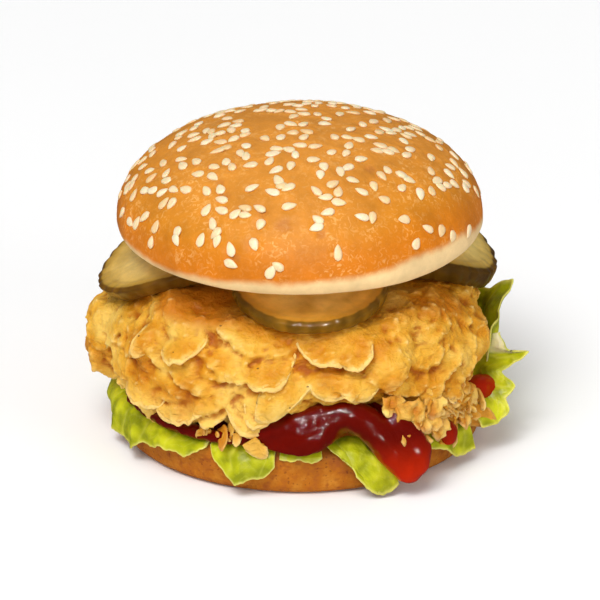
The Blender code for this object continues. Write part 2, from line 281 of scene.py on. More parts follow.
# joins overlapping closed shapes into one even mesh: points, outward normals, faces and edges
def fuse(blocks, voxel, passes):
    points, faces, count = [], [], 0
    for block, parts in blocks:
        points.append(block)
        for part in facingOut(block - block.mean(axis=0), parts):
            faces += (part + count).tolist()
        count += len(block)
    mesh = bpy.data.meshes.new("raw")
    mesh.from_pydata(np.concatenate(points).tolist(), [], faces)
    raw = bpy.data.objects.new("raw", mesh)
    bpy.context.scene.collection.objects.link(raw)
    remesh = raw.modifiers.new("remesh", "REMESH")
    remesh.mode = "VOXEL"
    remesh.voxel_size = voxel
    settle = raw.modifiers.new("settle", "SMOOTH")
    settle.factor = 0.5
    settle.iterations = passes
    done = raw.evaluated_get(bpy.context.evaluated_depsgraph_get())
    joined = done.to_mesh()
    tables = []
    for items, key, wide, kind in ((joined.vertices, "co", 3, float), (joined.vertices, "normal", 3, float),
                                   (joined.polygons, "vertices", 4, np.int32),
                                   (joined.edges, "vertices", 2, np.int32)):
        values = np.zeros(len(items) * wide, kind)
        items.foreach_get(key, values)
        tables.append(values.reshape(-1, wide))
    done.to_mesh_clear()
    bpy.data.objects.remove(raw)
    return tables


# how far each point of a mesh stands out from the average of its surroundings
def standOut(points, normals, edges, passes):
    count = len(points)
    degree = np.maximum(np.bincount(edges.ravel(), minlength=count), 1)[:, None]
    mean = points.copy()
    for _ in range(passes):
        total = np.stack([np.bincount(edges[:, 0], mean[edges[:, 1], k], count)
                          + np.bincount(edges[:, 1], mean[edges[:, 0], k], count) for k in range(3)], axis=-1)
        mean = 0.4 * mean + 0.6 * total / degree
    return ((points - mean) * normals).sum(-1)


# adds nodes to a tree and links them
class wiring:
    def __init__(self, tree, shader=None):
        self.tree, self.shader = tree, shader

    def add(self, kind, inputs=None, **settings):
        made = self.tree.nodes.new("ShaderNode" + kind)
        for key, value in settings.items():
            setattr(made, key, value)
        for key, value in (inputs or {}).items():
            self.put(made.inputs[key], value)
        return made

    def put(self, socket, value):
        if isinstance(value, bpy.types.NodeSocket):
            self.tree.links.new(value, socket)
        elif socket.type == "RGBA":
            socket.default_value = (*value, 1.0)
        else:
            socket.default_value = value

    def value(self, name):
        return self.add("Attribute", attribute_name=name).outputs["Fac"]

    def place(self):
        return self.add("NewGeometry").outputs["Position"]

    def cloud(self, place, scale, **settings):
        inputs = {"Vector": place, "Scale": scale}
        inputs.update({key.capitalize(): value for key, value in settings.items()})
        return self.add("TexNoise", inputs).outputs["Fac"]

    def maths(self, operation, a, b):
        return self.add("Math", {0: a, 1: b}, operation=operation).outputs[0]

    def times(self, a, b):
        return self.maths("MULTIPLY", a, b)

    def blend(self, share, a, b):
        return self.add("Mix", {0: share, 6: a, 7: b}, data_type="RGBA").outputs[2]

    def ramp(self, share, *stops):
        made = self.add("ValToRGB", {0: share})
        elements = made.color_ramp.elements
        while len(elements) < len(stops):
            elements.new(0.5)
        for element, (place, colour) in zip(elements, stops):
            element.position = place
            element.color = (*colour, 1.0)
        return made.outputs[0]

    def span(self, value, low, high, toLow=0.0, toHigh=1.0):
        return self.add("MapRange", dict(enumerate((value, low, high, toLow, toHigh))), clamp=True).outputs[0]

    def group(self, tree, **inputs):
        return self.add("Group", inputs, node_tree=tree).outputs

    # base colour with uneven lightness
    def paint(self, tone, patches, amount):
        tint = self.group(mottle, tint=tone, size=patches, amount=amount)["tint"]
        self.put(self.shader["Base Color"], tint)

    def grain(self, size, height):
        return self.group(fineGrain, size=size, height=height)["normal"]


def makeGroup(name, inputs, output, kind):
    tree = bpy.data.node_groups.new(name, "ShaderNodeTree")
    for key, (sort, value) in inputs.items():
        item = tree.interface.new_socket(name=key, in_out="INPUT", socket_type="NodeSocket" + sort)
        item.default_value = value
    tree.interface.new_socket(name=output, in_out="OUTPUT", socket_type="NodeSocket" + kind)
    start = tree.nodes.new("NodeGroupInput")
    end = tree.nodes.new("NodeGroupOutput")
    return tree, wiring(tree), start.outputs, end.inputs


# mottle: uneven lightness of a colour, in large and small patches
mottle, wires, given, result = makeGroup("mottle", dict(
    tint=("Color", (1, 1, 1, 1)), size=("Float", 0.01), amount=("Float", 0.3)), "tint", "Color")
patches = wires.cloud(wires.place(), wires.maths("DIVIDE", 1.0, given["size"]), detail=5.0, roughness=0.62)
shift = wires.times(wires.maths("SUBTRACT", patches, 0.5), given["amount"])
lightness = wires.maths("ADD", wires.times(shift, 2.4), 1.0)
wires.put(result["tint"], wires.add("HueSaturation", {"Value": lightness, "Color": given["tint"]}).outputs[0])

# fineGrain: bump normal of small grains and wrinkles
fineGrain, wires, given, result = makeGroup("fineGrain", dict(
    size=("Float", 0.001), height=("Float", 0.0001)), "normal", "Vector")
grain = wires.cloud(wires.place(), wires.maths("DIVIDE", 1.0, given["size"]),
                    detail=4.0, roughness=0.6, distortion=0.6)
relief = wires.add("Bump", {"Strength": 1.0, "Distance": given["height"], "Height": grain})
wires.put(result["normal"], relief.outputs[0])

# speckle: mask of small scattered dots
speckle, wires, given, result = makeGroup("speckle", dict(
    size=("Float", 0.002), dot=("Float", 0.2), share=("Float", 0.3)), "mask", "Float")
spot = wires.place()
warp = wires.add("TexNoise", {"Vector": spot, "Scale": 900.0, "Detail": 2.0}).outputs["Color"]
moved = wires.add("VectorMath", {0: warp, 1: (0.0008, 0.0008, 0.0008), 2: spot}, operation="MULTIPLY_ADD")
scale = wires.maths("DIVIDE", 1.0, given["size"])
dots = wires.add("TexVoronoi", {"Vector": moved.outputs[0], "Scale": scale})
near = wires.maths("LESS_THAN", dots.outputs["Distance"], given["dot"])
picked = wires.maths("LESS_THAN", wires.add("SeparateColor", {"Color": dots.outputs["Color"]}).outputs[0],
                     given["share"])
wires.put(result["mask"], wires.times(near, picked))

shaderSockets = dict(roughness="Roughness", specular="Specular IOR Level", glow="Subsurface Weight",
                     glowReach="Subsurface Scale", glowTint="Subsurface Radius", coat="Coat Weight",
                     coatRoughness="Coat Roughness", coatIndex="Coat IOR")


def finishOf(name, **settings):
    made = bpy.data.materials.new(name)
    made.use_nodes = True
    shader = made.node_tree.nodes["Principled BSDF"]
    shader.subsurface_method = "RANDOM_WALK"
    for key, value in settings.items():
        shader.inputs[shaderSockets[key]].default_value = value
    return made, wiring(made.node_tree, shader.inputs)


# the bun's heel: sizes in mm, then colours
heelLook = dict(columns=300, footRound=3.0, footTaper=1.3, topRadius=43.0, widest=10.0, shoulderRun=9.9,
                lumps=0.35, grain=0.10, darker=(0.36, 0.095, 0.012), crust=(0.45, 0.135, 0.006),
                paler=(0.55, 0.205, 0.018), pit=(0.30, 0.07, 0.008), dark=(0.16, 0.035, 0.006),
                crumb=(0.80, 0.62, 0.36))


# radius and height of a point that far along the heel's surface, and off it
def drape(run, lift):
    top, shoulder = heelLook["topRadius"], heelLook["shoulderRun"]
    wide, tall = heelRadius - top, heelHeight - heelLook["widest"]
    over = np.maximum(run - top, 0.0)
    turn = np.minimum(over / shoulder, 1.0) * math.pi / 2
    outX, outZ = np.sin(turn) / wide, np.cos(turn) / tall
    length = np.hypot(outX, outZ)
    radius = np.minimum(run, top) + wide * np.sin(turn) + lift * outX / length
    z = heelLook["widest"] + tall * np.cos(turn) + lift * outZ / length
    return radius, z - np.maximum(over - shoulder, 0.0)


def makeHeel():
    look = heelLook
    top = look["topRadius"]
    z = np.concatenate([np.zeros(8), np.linspace(0, look["widest"], 36)])
    below = (look["widest"] - z) / look["widest"]
    radius = heelRadius - look["footTaper"] * below ** 2
    into = unit(1 - z / look["footRound"])
    radius -= look["footRound"] * (1 - np.sqrt(1 - into ** 2))
    radius[:8] = radius[8] * np.linspace(0.06, 0.97, 8)
    shoulder = drape(top + look["shoulderRun"] * np.linspace(0.97, 0, 26), 0.0)
    radius = np.concatenate([radius, shoulder[0], top * np.linspace(0.95, 0.05, 12)])
    z = np.concatenate([z, shoulder[1], np.full(12, heelHeight)])
    grid = polar(radius[:, None], turnsOf(look["columns"])[None], z[:, None])
    bulge = look["lumps"] * rough(grid, 16.0, 3) + look["grain"] * rough(grid, 2.2, 5, 2) - 0.25
    grid = grid + gridNormals(grid) * (bulge * smooth(0.0, 4.0, grid[..., 2]))[..., None]
    grid[..., 2] = np.clip(grid[..., 2], 0.0, heelHeight)
    cut = smooth(top + 1.5, top - 1.0, fromAxis(grid))
    cut *= smooth(heelHeight - 1.5, heelHeight - 0.6, grid[..., 2])
    heap = meshHeap()
    heap.add(*closedSkin(grid), cut=withCaps(cut), pit=withCaps(rough(grid, 1.6, 8)))
    finish, wires = finishOf("heelCrust", roughness=0.6, specular=0.12)
    patch = wires.cloud(wires.place(), 140.0, detail=6.0, roughness=0.7)
    tone = wires.ramp(patch, (0.36, look["darker"]), (0.5, look["crust"]), (0.66, look["paler"]))
    tone = wires.blend(wires.span(wires.value("pit"), -0.2, -0.75, 0.0, 0.75), tone, look["pit"])
    dots = wires.group(speckle, size=0.0011, dot=0.26, share=0.35)["mask"]
    tone = wires.blend(wires.times(dots, 0.55), tone, look["dark"])
    wires.paint(wires.blend(wires.value("cut"), tone, look["crumb"]), 0.012, 0.22)
    wires.put(wires.shader["Normal"], wires.grain(0.0009, 0.00022))
    heap.build("heelBun", finish, "heel")


# the bun's crown: sizes in mm and degrees, then colours
crownLook = dict(columns=360, tilt=1.3, skirt=3.2, fullness=2.1, rimInset=1.6, dome=26.5,
                 bandHeight=5.0,  # pale unbaked band at the rim
                 crust=(0.60, 0.212, 0.012), top=(0.64, 0.245, 0.028), low=(0.62, 0.170, 0.002),
                 band=(0.80, 0.56, 0.27), freckle=(0.86, 0.50, 0.17), scar=(0.50, 0.17, 0.03))
crownLow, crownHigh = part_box("crown")
crownRadius = (crownHigh.x - crownLow.x) / 2 / mm * 0.996
crownWidest = crownHigh.z / mm - crownLook["dome"]
# marks where seeds were pressed in and fell off: angle, degrees up, width
scarPlaces = [(238, 42, 2.2), (256, 37, 1.8), (264, 31, 2.6), (277, 27, 1.6), (232, 48, 1.7), (310, 56, 2),
              (250, 13, 1.5), (60, 30, 2), (130, 36, 1.8)]


def tiltCrown(points, lift):
    turn = math.radians(crownLook["tilt"])
    y, z = points[..., 1], points[..., 2]
    return np.stack([points[..., 0], y * math.cos(turn) - z * math.sin(turn),
                     y * math.sin(turn) + z * math.cos(turn) + lift], axis=-1)


# point of the smooth crown at that many degrees up from its widest ring, and the direction out
def crownSpot(angle, turn):
    power = 2 / crownLook["fullness"]
    side, rise = np.cos(np.radians(turn)), np.sin(np.radians(turn))
    spot = polar(crownRadius * side ** power, angle, crownLook["dome"] * np.maximum(rise, 0) ** power)
    out = polar(side * crownLook["dome"] / crownRadius, angle, rise)
    out = out / np.linalg.norm(out, axis=-1, keepdims=True)
    return tiltCrown(spot, crownWidest), tiltCrown(out, 0.0)


# gentle unevenness of the crust, along its normal
def crownRelief(points):
    high = smooth(0.0, 10.0, points[..., 2] - crownWidest)
    return 0.45 * noise(points, 22.0, 9) * high + 0.35 * noise(points, 30.0, 7) + 0.10 * noise(points, 7.0, 4)


seedLook = dict(length=4.0, width=2.7, depth=1.3, scattered=150, spacing=3.4, closest=2.0, sunk=0.28,
                around=12, along=9, dull=(0.80, 0.53, 0.25), warm=(0.86, 0.64, 0.37),
                kernel=(0.86, 0.66, 0.40), white=(0.90, 0.74, 0.50), tip=(0.80, 0.54, 0.26))
# places where seeds lie close together: angle, degrees up, spread in mm, seeds
seedClusters = [
    (255, 66, 4.5, 9), (232, 60, 4, 6), (262, 52, 3.5, 5), (270, 78, 6, 9), (210, 70, 6, 8), (330, 66, 6, 9),
    (100, 75, 7, 12), (10, 62, 7, 11), (180, 66, 6, 8), (300, 62, 5, 9), (318, 48, 4.5, 9), (335, 38, 4, 8),
    (283, 47, 3.5, 6), (296, 37, 3, 4), (350, 30, 5, 9), (20, 45, 6, 10), (200, 40, 4, 6), (186, 22, 4, 5),
    (215, 30, 3, 3), (90, 55, 8, 14), (140, 50, 7, 12), (60, 40, 7, 10), (170, 55, 6, 8), (241, 24, 3, 3),
    (226, 17, 3, 3), (262, 9, 2.2, 2), (120, 25, 6, 7), (30, 20, 5, 6), (277, 30, 3, 4), (248, 38, 3, 3),
]


def seedPlaces():
    rng = np.random.default_rng(41)
    places = []

    def tryPlace(angle, turn, spacing):
        spot, out = crownSpot(np.array([angle]), np.array([turn]))
        if all(np.linalg.norm(spot[0] - other[0]) > spacing for other in places):
            places.append((spot[0], out[0], rng.uniform(0, 360), rng.uniform(0.88, 1.1)))

    for angle, turn, spread, count in seedClusters:
        for _ in range(count):
            away, way = spread * math.sqrt(rng.random()), rng.uniform(0, 2 * math.pi)
            wide = max(50 * math.cos(math.radians(turn)), 8.0)
            tryPlace(angle + math.degrees(away * math.cos(way) / wide),
                     turn + math.degrees(away * math.sin(way) / 38), seedLook["closest"])
    wanted = sum(cluster[3] for cluster in seedClusters) * 0.8 + seedLook["scattered"]
    for _ in range(6000):
        if len(places) >= wanted:
            break
        angle = rng.uniform(0, 360)
        turn = math.degrees(math.asin(rng.uniform(0.02, 1.0)))
        sparse = 0.85 * bump(angle, 275, 75) * smooth(50, 22, turn) + 0.5 * smooth(10, 2, turn)
        if rng.random() > sparse:
            tryPlace(angle, turn, seedLook["spacing"])
    return places


def makeCrown(places):
    look = crownLook
    rim, foot = crownRadius - look["rimInset"], -look["skirt"]
    corners = np.array([(1.0, foot + 0.6), (rim - 4.2, foot + 0.6), (rim - 2.0, foot + 0.25),
                        (rim - 0.5, foot),
                        (rim + 0.75, foot + 0.9), (crownRadius - 0.15, -0.95), (crownRadius, 0.0)])
    length = np.r_[0, np.cumsum(np.linalg.norm(np.diff(corners, axis=0), axis=1))]
    steps = np.r_[np.linspace(0, length[1], 14)[:-1], np.linspace(length[1], length[-1], 26)]
    lower = np.stack([np.interp(steps, length, corners[:, k]) for k in (0, 1)], axis=-1)
    for _ in range(3):
        lower[14:-1] = (lower[13:-2] + 2 * lower[14:-1] + lower[15:]) / 4
    angles = turnsOf(look["columns"])[None]
    bottom = tiltCrown(polar(lower[:-1, :1], angles, lower[:-1, 1:]), crownWidest)
    grid = np.concatenate([bottom, crownSpot(angles, 89.0 * np.linspace(0, 1, 118)[:, None])[0]])
    normal = gridNormals(grid)
    grid = grid + normal * crownRelief(grid)[..., None]
    dent, scar = np.zeros(grid.shape[:2]), np.zeros(grid.shape[:2])
    for spot, _, _, _ in places:  # the crust is pressed in a little round every seed
        away = np.linalg.norm(grid - spot, axis=-1)
        dent += 0.30 * bell(away, 1.9) - 0.12 * bell(away - 2.9, 0.8)
    for angle, turn, wide in scarPlaces:
        spot = crownSpot(np.array([angle]), np.array([turn]))[0][0]
        ragged = wide * (1 + 0.45 * noise(grid, 1.6, 31))
        scar = np.maximum(scar, smooth(ragged, ragged * 0.45, np.linalg.norm(grid - spot, axis=-1)))
    grid = grid - normal * (dent + scar * (0.22 + 0.3 * noise(grid, 0.9, 12)))[..., None]
    level = grid[..., 2] - (crownWidest - look["skirt"]) - grid[..., 1] * math.sin(math.radians(look["tilt"]))
    angle = np.degrees(np.arctan2(grid[..., 1], grid[..., 0])) % 360
    ragged = look["bandHeight"] * (0.95 + 0.55 * bump(angle, 318, 26) - 0.50 * bump(angle, 222, 34)
                                   + 0.20 * noise(polar(30.0, angle, 0.0), 9.0, 15)
                                    + 0.10 * noise(grid, 3.0, 16))
    under = smooth(rim - 1.5, rim - 3.5, fromAxis(grid)) * smooth(2.0, 0.9, level)
    heap = meshHeap()
    heap.add(*closedSkin(grid), pale=withCaps(smooth(ragged + 0.9, ragged - 1.8, level)),
             glow=withCaps(smooth(0.0, 26.0, level - ragged)), cut=withCaps(under), scar=withCaps(scar))
    finish, wires = finishOf("crownCrust", roughness=0.5, specular=0.16)
    position = wires.place()
    # painted light: the crust is paler towards the top, as lit from above, and deeper orange low down
    tone = wires.ramp(wires.value("glow"), (0.0, look["low"]), (0.35, look["crust"]), (0.95, look["top"]))
    # fine pale crackle over the crust, in patches
    veil = wires.cloud(position, 620.0, detail=5.0, distortion=1.5)
    areas = wires.cloud(position, 95.0, detail=3.0)
    crackle = wires.times(wires.span(veil, 0.52, 0.66), wires.span(areas, 0.42, 0.62, 0.1, 0.5))
    tone = wires.blend(crackle, tone, look["freckle"])
    tone = wires.blend(wires.times(wires.value("scar"), 0.55), tone, look["scar"])
    tone = wires.blend(wires.value("pale"), tone, look["band"])
    wires.paint(wires.blend(wires.value("cut"), tone, heelLook["crumb"]), 0.011, 0.34)
    wires.put(wires.shader["Normal"], wires.grain(0.0012, 0.00016))
    heap.build("crownBun", finish, "crown")


# teardrop seeds, flat side down, sunk a little into the crust
def makeSeeds(places):
    look = seedLook
    rng = np.random.default_rng(23)
    heap = meshHeap()
    v = np.linspace(0.0, 1.0, look["along"])[:, None]
    turn = np.linspace(0, 2 * math.pi, look["around"], endpoint=False)[None]
    # widest a third along, round at one end and pointed at the other
    wide = np.sin(np.pi * v ** 0.80) ** 0.60 * (1 - 0.22 * v)
    wide[0], wide[-1] = 0.10, 0.06
    for spot, out, heading, size in places:
        x = look["length"] * size * rng.uniform(0.92, 1.06) * (v - 0.45) + 0 * turn
        y = look["width"] / 2 * rng.uniform(0.88, 1.1) * wide * np.cos(turn)
        z = look["depth"] / 2 * rng.uniform(0.85, 1.15) * wide ** 0.8 * np.sin(turn)
        z = np.where(z < 0, z * 0.7, z) + 0.10 * wide * np.cos(2 * turn) * (z > 0)
        local = np.stack([x, y, z], axis=-1)
        local += 0.05 * noise(local + spot, 1.2, 3)[..., None]
        side = np.cross(out, [0, 0, 1.0])
        side = np.array([1.0, 0, 0]) if np.linalg.norm(side) < 0.1 else side / np.linalg.norm(side)
        tilt = np.radians(heading)
        first = side * math.cos(tilt) + np.cross(out, side) * math.sin(tilt)
        second = np.cross(out, first)
        lean = out + first * rng.normal(0, 0.10) + second * rng.normal(0, 0.14)
        lean /= np.linalg.norm(lean)
        seat = spot + out * (crownRelief(spot[None])[0] - look["sunk"] + 0.22)
        grid = seat + local[..., :1] * first + local[..., 1:2] * second + local[..., 2:] * lean
        points, faces = closedSkin(grid)
        heap.add(points, faces, along=withCaps(v + 0 * turn), tag=np.full(len(points), rng.random()))
    finish, wires = finishOf("sesame", roughness=0.42, glow=0.25, glowReach=0.0012)
    tone = wires.ramp(wires.value("tag"), (0.0, look["dull"]), (0.3, look["warm"]), (0.75, look["kernel"]),
                      (1.0, look["white"]))
    tip = wires.span(wires.value("along"), 0.72, 1.0, 0.0, 0.5)
    wires.paint(wires.blend(tip, tone, look["tip"]), 0.0015, 0.12)
    wires.put(wires.shader["Normal"], wires.grain(0.0006, 0.00006))
    heap.build("sesameSeeds", finish, "crown")


# the pickle slices: sizes in mm, colours from the core out, and how far and where the foot tucks in
pickleLook = dict(columns=220, scallops=30, wave=0.9, edge=0.55, dimple=0.12)
# the centre and right slices are painted brighter than the left one, as painted light against the crown's
# shade over them
pickles = dict(
    pickleCentre=dict(node="pickle_centre", seed=3, core=(1.0, 0.62, 0.16), flesh=(0.95, 0.50, 0.08),
                      deep=(0.52, 0.22, 0.012), peel=(0.16, 0.074, 0.004), tuck=1.6, tuckAt=270),
    pickleLeft=dict(node="pickle_left", seed=13, core=(0.76, 0.54, 0.18), flesh=(0.68, 0.44, 0.11),
                    deep=(0.36, 0.20, 0.02), peel=(0.13, 0.055, 0.004), tuck=5.0, tuckAt=205),
    pickleRight=dict(node="pickle_right", seed=23, core=(1.0, 0.78, 0.27), flesh=(0.96, 0.70, 0.20),
                     deep=(0.45, 0.26, 0.03), peel=(0.10, 0.045, 0.003), tuck=2.4, tuckAt=330),
)


def makePickle(name, look):
    columns, seed = pickleLook["columns"], look["seed"]
    low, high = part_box(look["node"])
    centre = np.array([(low.x + high.x) / 2, (low.y + high.y) / 2, 0]) / mm - axisSpot
    radius = (high.x - low.x) / 2 / mm - 0.3
    angles = turnsOf(columns)
    ring = polar(1.0, angles, 0.0)
    turn = np.radians(angles) * pickleLook["scallops"]
    wave = 0.50 * np.abs(np.sin(turn / 2 + 1.5 * noise(ring * 3, 1.0, seed)))
    uneven = noise(ring, 0.8, seed + 3)
    outline = radius * (1 + 0.022 * uneven) - pickleLook["edge"] + pickleLook["wave"] * wave
    reach = np.r_[np.linspace(0.04, 0.86, 22), np.linspace(0.88, 0.985, 10)]
    even = radius - 0.2 + 0.4 * uneven
    flat = reach[:, None] * (even + (outline - even) * smooth(0.75, 1.0, reach)[:, None])
    top = centre + polar(flat, angles[None], 0.0)
    inner = centre + (top - centre) * 0.965
    tables = []
    for fromBelow in (False, True):
        table = heightsOf(treeOf(look["node"]), inner[..., 0], inner[..., 1], fromBelow)
        for k in range(1, len(reach)):  # a ray that misses takes the height further in
            table[k] = np.where(np.isnan(table[k]), table[k - 1], table[k])
        tables.append(soften(table, 2.0, 11))
    upper, lower = tables
    grain = rough(top, 2.4, seed)
    seeds = pillows(top * [1, 1, 0], 2.6, seed + 9)[0]
    tuck = look["tuck"] * (0.25 + 0.75 * bump(angles, look["tuckAt"], 55))
    ringed = smooth(0.25, 0.45, reach) * smooth(0.80, 0.62, reach)
    lip, groove = 0.35 * smooth(0.80, 0.93, reach), 0.5 * smooth(0.955, 1.0, reach)
    rows, skin, spread = [], [], []

    def addRow(row, z, peel, out):
        row = row.copy()
        row[:, 2] = z
        rows.append(row)
        skin.append(np.full(columns, peel))
        spread.append(np.full(columns, out))

    peels = smooth(0.93, 0.965, reach)
    for k in range(len(reach)):
        dimple = pickleLook["dimple"] * ringed[k] * smooth(0.42, 0.2, seeds[k])
        addRow(top[k], upper[k] + 0.07 * grain[k] + lip[k] - groove[k] - dimple, peels[k], reach[k])
    edgeTop = rows[-1][:, 2]
    for t in np.linspace(0, 1, 15)[1:-1]:
        full = math.sin(math.pi * t)
        spot = centre + polar(outline * (1 + 0.012 * full) - tuck * t ** 1.3, angles, 0.0)
        z = edgeTop + (lower[-1] + 0.3 - edgeTop) * t
        spot[:, 2] = z
        ridge = 0.05 * np.sin(turn + 3.0 * noise(spot, 5.0, seed + 2)) * full
        ridge = ridge + 0.22 * rough(spot, 3.4, seed + 6, 2)
        addRow(spot + ring * ridge[:, None], z, 1.0, 1.0)
    for k in range(len(reach) - 1, -1, -3):
        row = centre + (top[k] - centre) * (1 - tuck / radius)[:, None]
        addRow(row, lower[k] + 0.10 * grain[k] + 0.25 * smooth(0.95, 1.0, reach[k]), peels[k], reach[k])
    grid = np.array(rows)
    patch = 0.5 + 0.5 * rough(grid, 9.0, seed + 4)
    flow = np.stack([angles * 0.9 + 0 * grid[..., 0], grid[..., 2] * 0.2, 0 * grid[..., 0]], axis=-1)
    heap = meshHeap()
    heap.add(*closedSkin(grid), skin=withCaps(np.array(skin)), out=withCaps(np.array(spread)),
             patch=withCaps(patch), streak=withCaps(0.5 + 0.5 * noise(flow, 8.0, seed + 7)))
    finish, wires = finishOf(name, roughness=0.35, coat=0.6, coatRoughness=0.08, glow=0.2, glowReach=0.002,
                             glowTint=(1.0, 0.7, 0.3), specular=0.08)
    peel = np.array(look["peel"])
    tone = wires.ramp(wires.value("out"), (0.0, look["core"]), (0.5, look["core"]), (0.80, look["flesh"]),
                      (0.97, look["deep"]))
    tone = wires.blend(wires.span(wires.value("patch"), 0.35, 0.95, 0.0, 0.6), tone, look["deep"])
    band = wires.ramp(wires.value("streak"), (0.15, 0.7 * peel), (0.55, peel), (0.9, 1.8 * peel))
    wires.paint(wires.blend(wires.value("skin"), tone, band), 0.004, 0.25)
    wires.put(wires.shader["Normal"], wires.grain(0.0016, 0.00012))
    heap.build(name, finish, look["node"])


# the fried chicken's coating: sizes in mm, counts, then colours, with pale colours for painted light on
# crests and lips and browns for painted shade in hollows, recesses, flake roots and under the crown
coatLook = dict(frontColumns=470, backColumns=170, ringRadius=26.0, voxel=0.64,
                petals=90, layer=5.6, layerLift=3.3, folds=1.7, flakes=20,
                brown=(0.56, 0.19, 0.006), amber=(0.66, 0.28, 0.014), golden=(0.75, 0.39, 0.040),
                straw=(0.82, 0.51, 0.10), raised=(0.87, 0.58, 0.14), hollow=(0.42, 0.105, 0.003),
                deep=(0.36, 0.085, 0.005), root=(0.52, 0.155, 0.005), lip=(0.90, 0.63, 0.26),
                pepper=(0.12, 0.05, 0.015))
coatReach = 51.0  # its usual distance from the axis
# large forms: angle, height, half width in degrees, half height, push out
coatForms = [
    (297, 36.5, 6, 7.5, 2.6), (287, 30, 5, 2.6, 1.4), (278, 35.5, 9, 1.7, -3.2), (312, 30.5, 7, 2, -2.2),
    (322, 42.5, 12, 5, 1), (333, 32, 7, 4.5, 1.4), (344, 31, 7, 5, 3), (255, 37, 7, 2, -1.2),
    (232, 33, 9, 2, -1), (228, 20.5, 10, 3.5, 1.4), (252, 20, 6, 4, 1.6), (266, 27, 6, 7, 1.4),
    (193, 33, 5, 6, 0.8), (210, 42, 12, 2, -1.5), (240, 46, 8, 3, 0.8), (70, 38, 18, 5, 1.2),
    (120, 30, 14, 4, 1), (150, 40, 12, 4, -1), (20, 34, 12, 5, 1),
]
# zones of tight vertical folds: angle, height, half width in degrees, half height
foldZones = [(299, 37.5, 10, 8), (318, 42, 12, 6), (90, 36, 20, 8), (206, 30, 7, 9)]


# samples a node's closed shape as a grid of rings, from the middle of its underside to its top
def ringSkin(node, angles, ringRadius, rows, softAcross, softAlong):
    tree = treeOf(node)
    middle = polar(ringRadius, angles, 0.0)
    top = heightsOf(tree, middle[:, 0], middle[:, 1])
    bottom = heightsOf(tree, middle[:, 0], middle[:, 1], fromBelow=True)
    level = soften(((top + bottom) / 2)[None], 0, 4)[0]
    turns = np.radians(np.linspace(-90, 90, 73))
    reach = np.zeros((len(turns), len(angles)))
    for i, angle in enumerate(np.radians(angles)):
        start = (middle[i, 0], middle[i, 1], level[i])
        for k, turn in enumerate(turns):
            way = (math.cos(turn) * math.cos(angle), math.cos(turn) * math.sin(angle), math.sin(turn))
            hit = tree.ray_cast(start, way)
            reach[k, i] = hit[3] if hit[0] is not None else reach[k - 1, i]
    reach = soften(reach, softAlong, softAcross)
    radius = ringRadius + reach * np.cos(turns)[:, None]
    z = level[None] + reach * np.sin(turns)[:, None]
    out = np.zeros((rows, len(angles), 3))
    for i in range(len(angles)):
        # the hidden flat parts get fewer rows than the wall
        weight = 0.16 + 0.84 * smooth(33, 44, radius[1:, i])
        length = np.r_[0, np.cumsum(np.hypot(np.diff(radius[:, i]), np.diff(z[:, i])) * weight)]
        steps = np.linspace(0, length[-1], rows)
        far, high = np.interp(steps, length, radius[:, i]), np.interp(steps, length, z[:, i])
        out[:, i] = polar(far, angles[i], high)
    return out


# small overlapping scales, each a ramp that rises to its lower lip: how far out, and how far down
def coatScales(base, angle):
    rng = np.random.default_rng(5)
    z = base[..., 2]
    scale, drop = np.zeros(z.shape), np.zeros(z.shape)
    ragged = noise(base, 1.5, 21) * 0.55 + noise(base, 0.7, 22) * 0.25
    for _ in range(coatLook["petals"]):
        at = rng.uniform(150, 390) if rng.random() < 0.78 else rng.uniform(30, 150)
        wide, height, long = rng.uniform(3.0, 13.0), rng.uniform(14, 50), rng.uniform(2.5, 6.5)
        lift, tilt = rng.uniform(0.5, 1.5), math.radians(rng.normal(0, 26))
        columns = np.nonzero(np.abs(turnGap(angle[0], at)) < math.degrees(wide / 44) + 2)[0]
        a = np.radians(turnGap(angle[:, columns], at)) * coatReach
        b = z[:, columns] - height
        a, b = a * math.cos(tilt) + b * math.sin(tilt), b * math.cos(tilt) - a * math.sin(tilt)
        u = a / (wide / 2)
        over = b - (long * 0.75 * (1 - np.sqrt(unit(1 - u ** 2))) + ragged[:, columns])
        inside = (np.abs(u) < 1) * (over > 0)
        h = lift * unit(1 - over / long) ** 0.8 * inside * unit(over / 0.35)
        won = h > scale[:, columns]
        drop[:, columns] = np.where(won, 0.55 * h, drop[:, columns])
        scale[:, columns] = np.where(won, h, scale[:, columns])
    return scale, drop


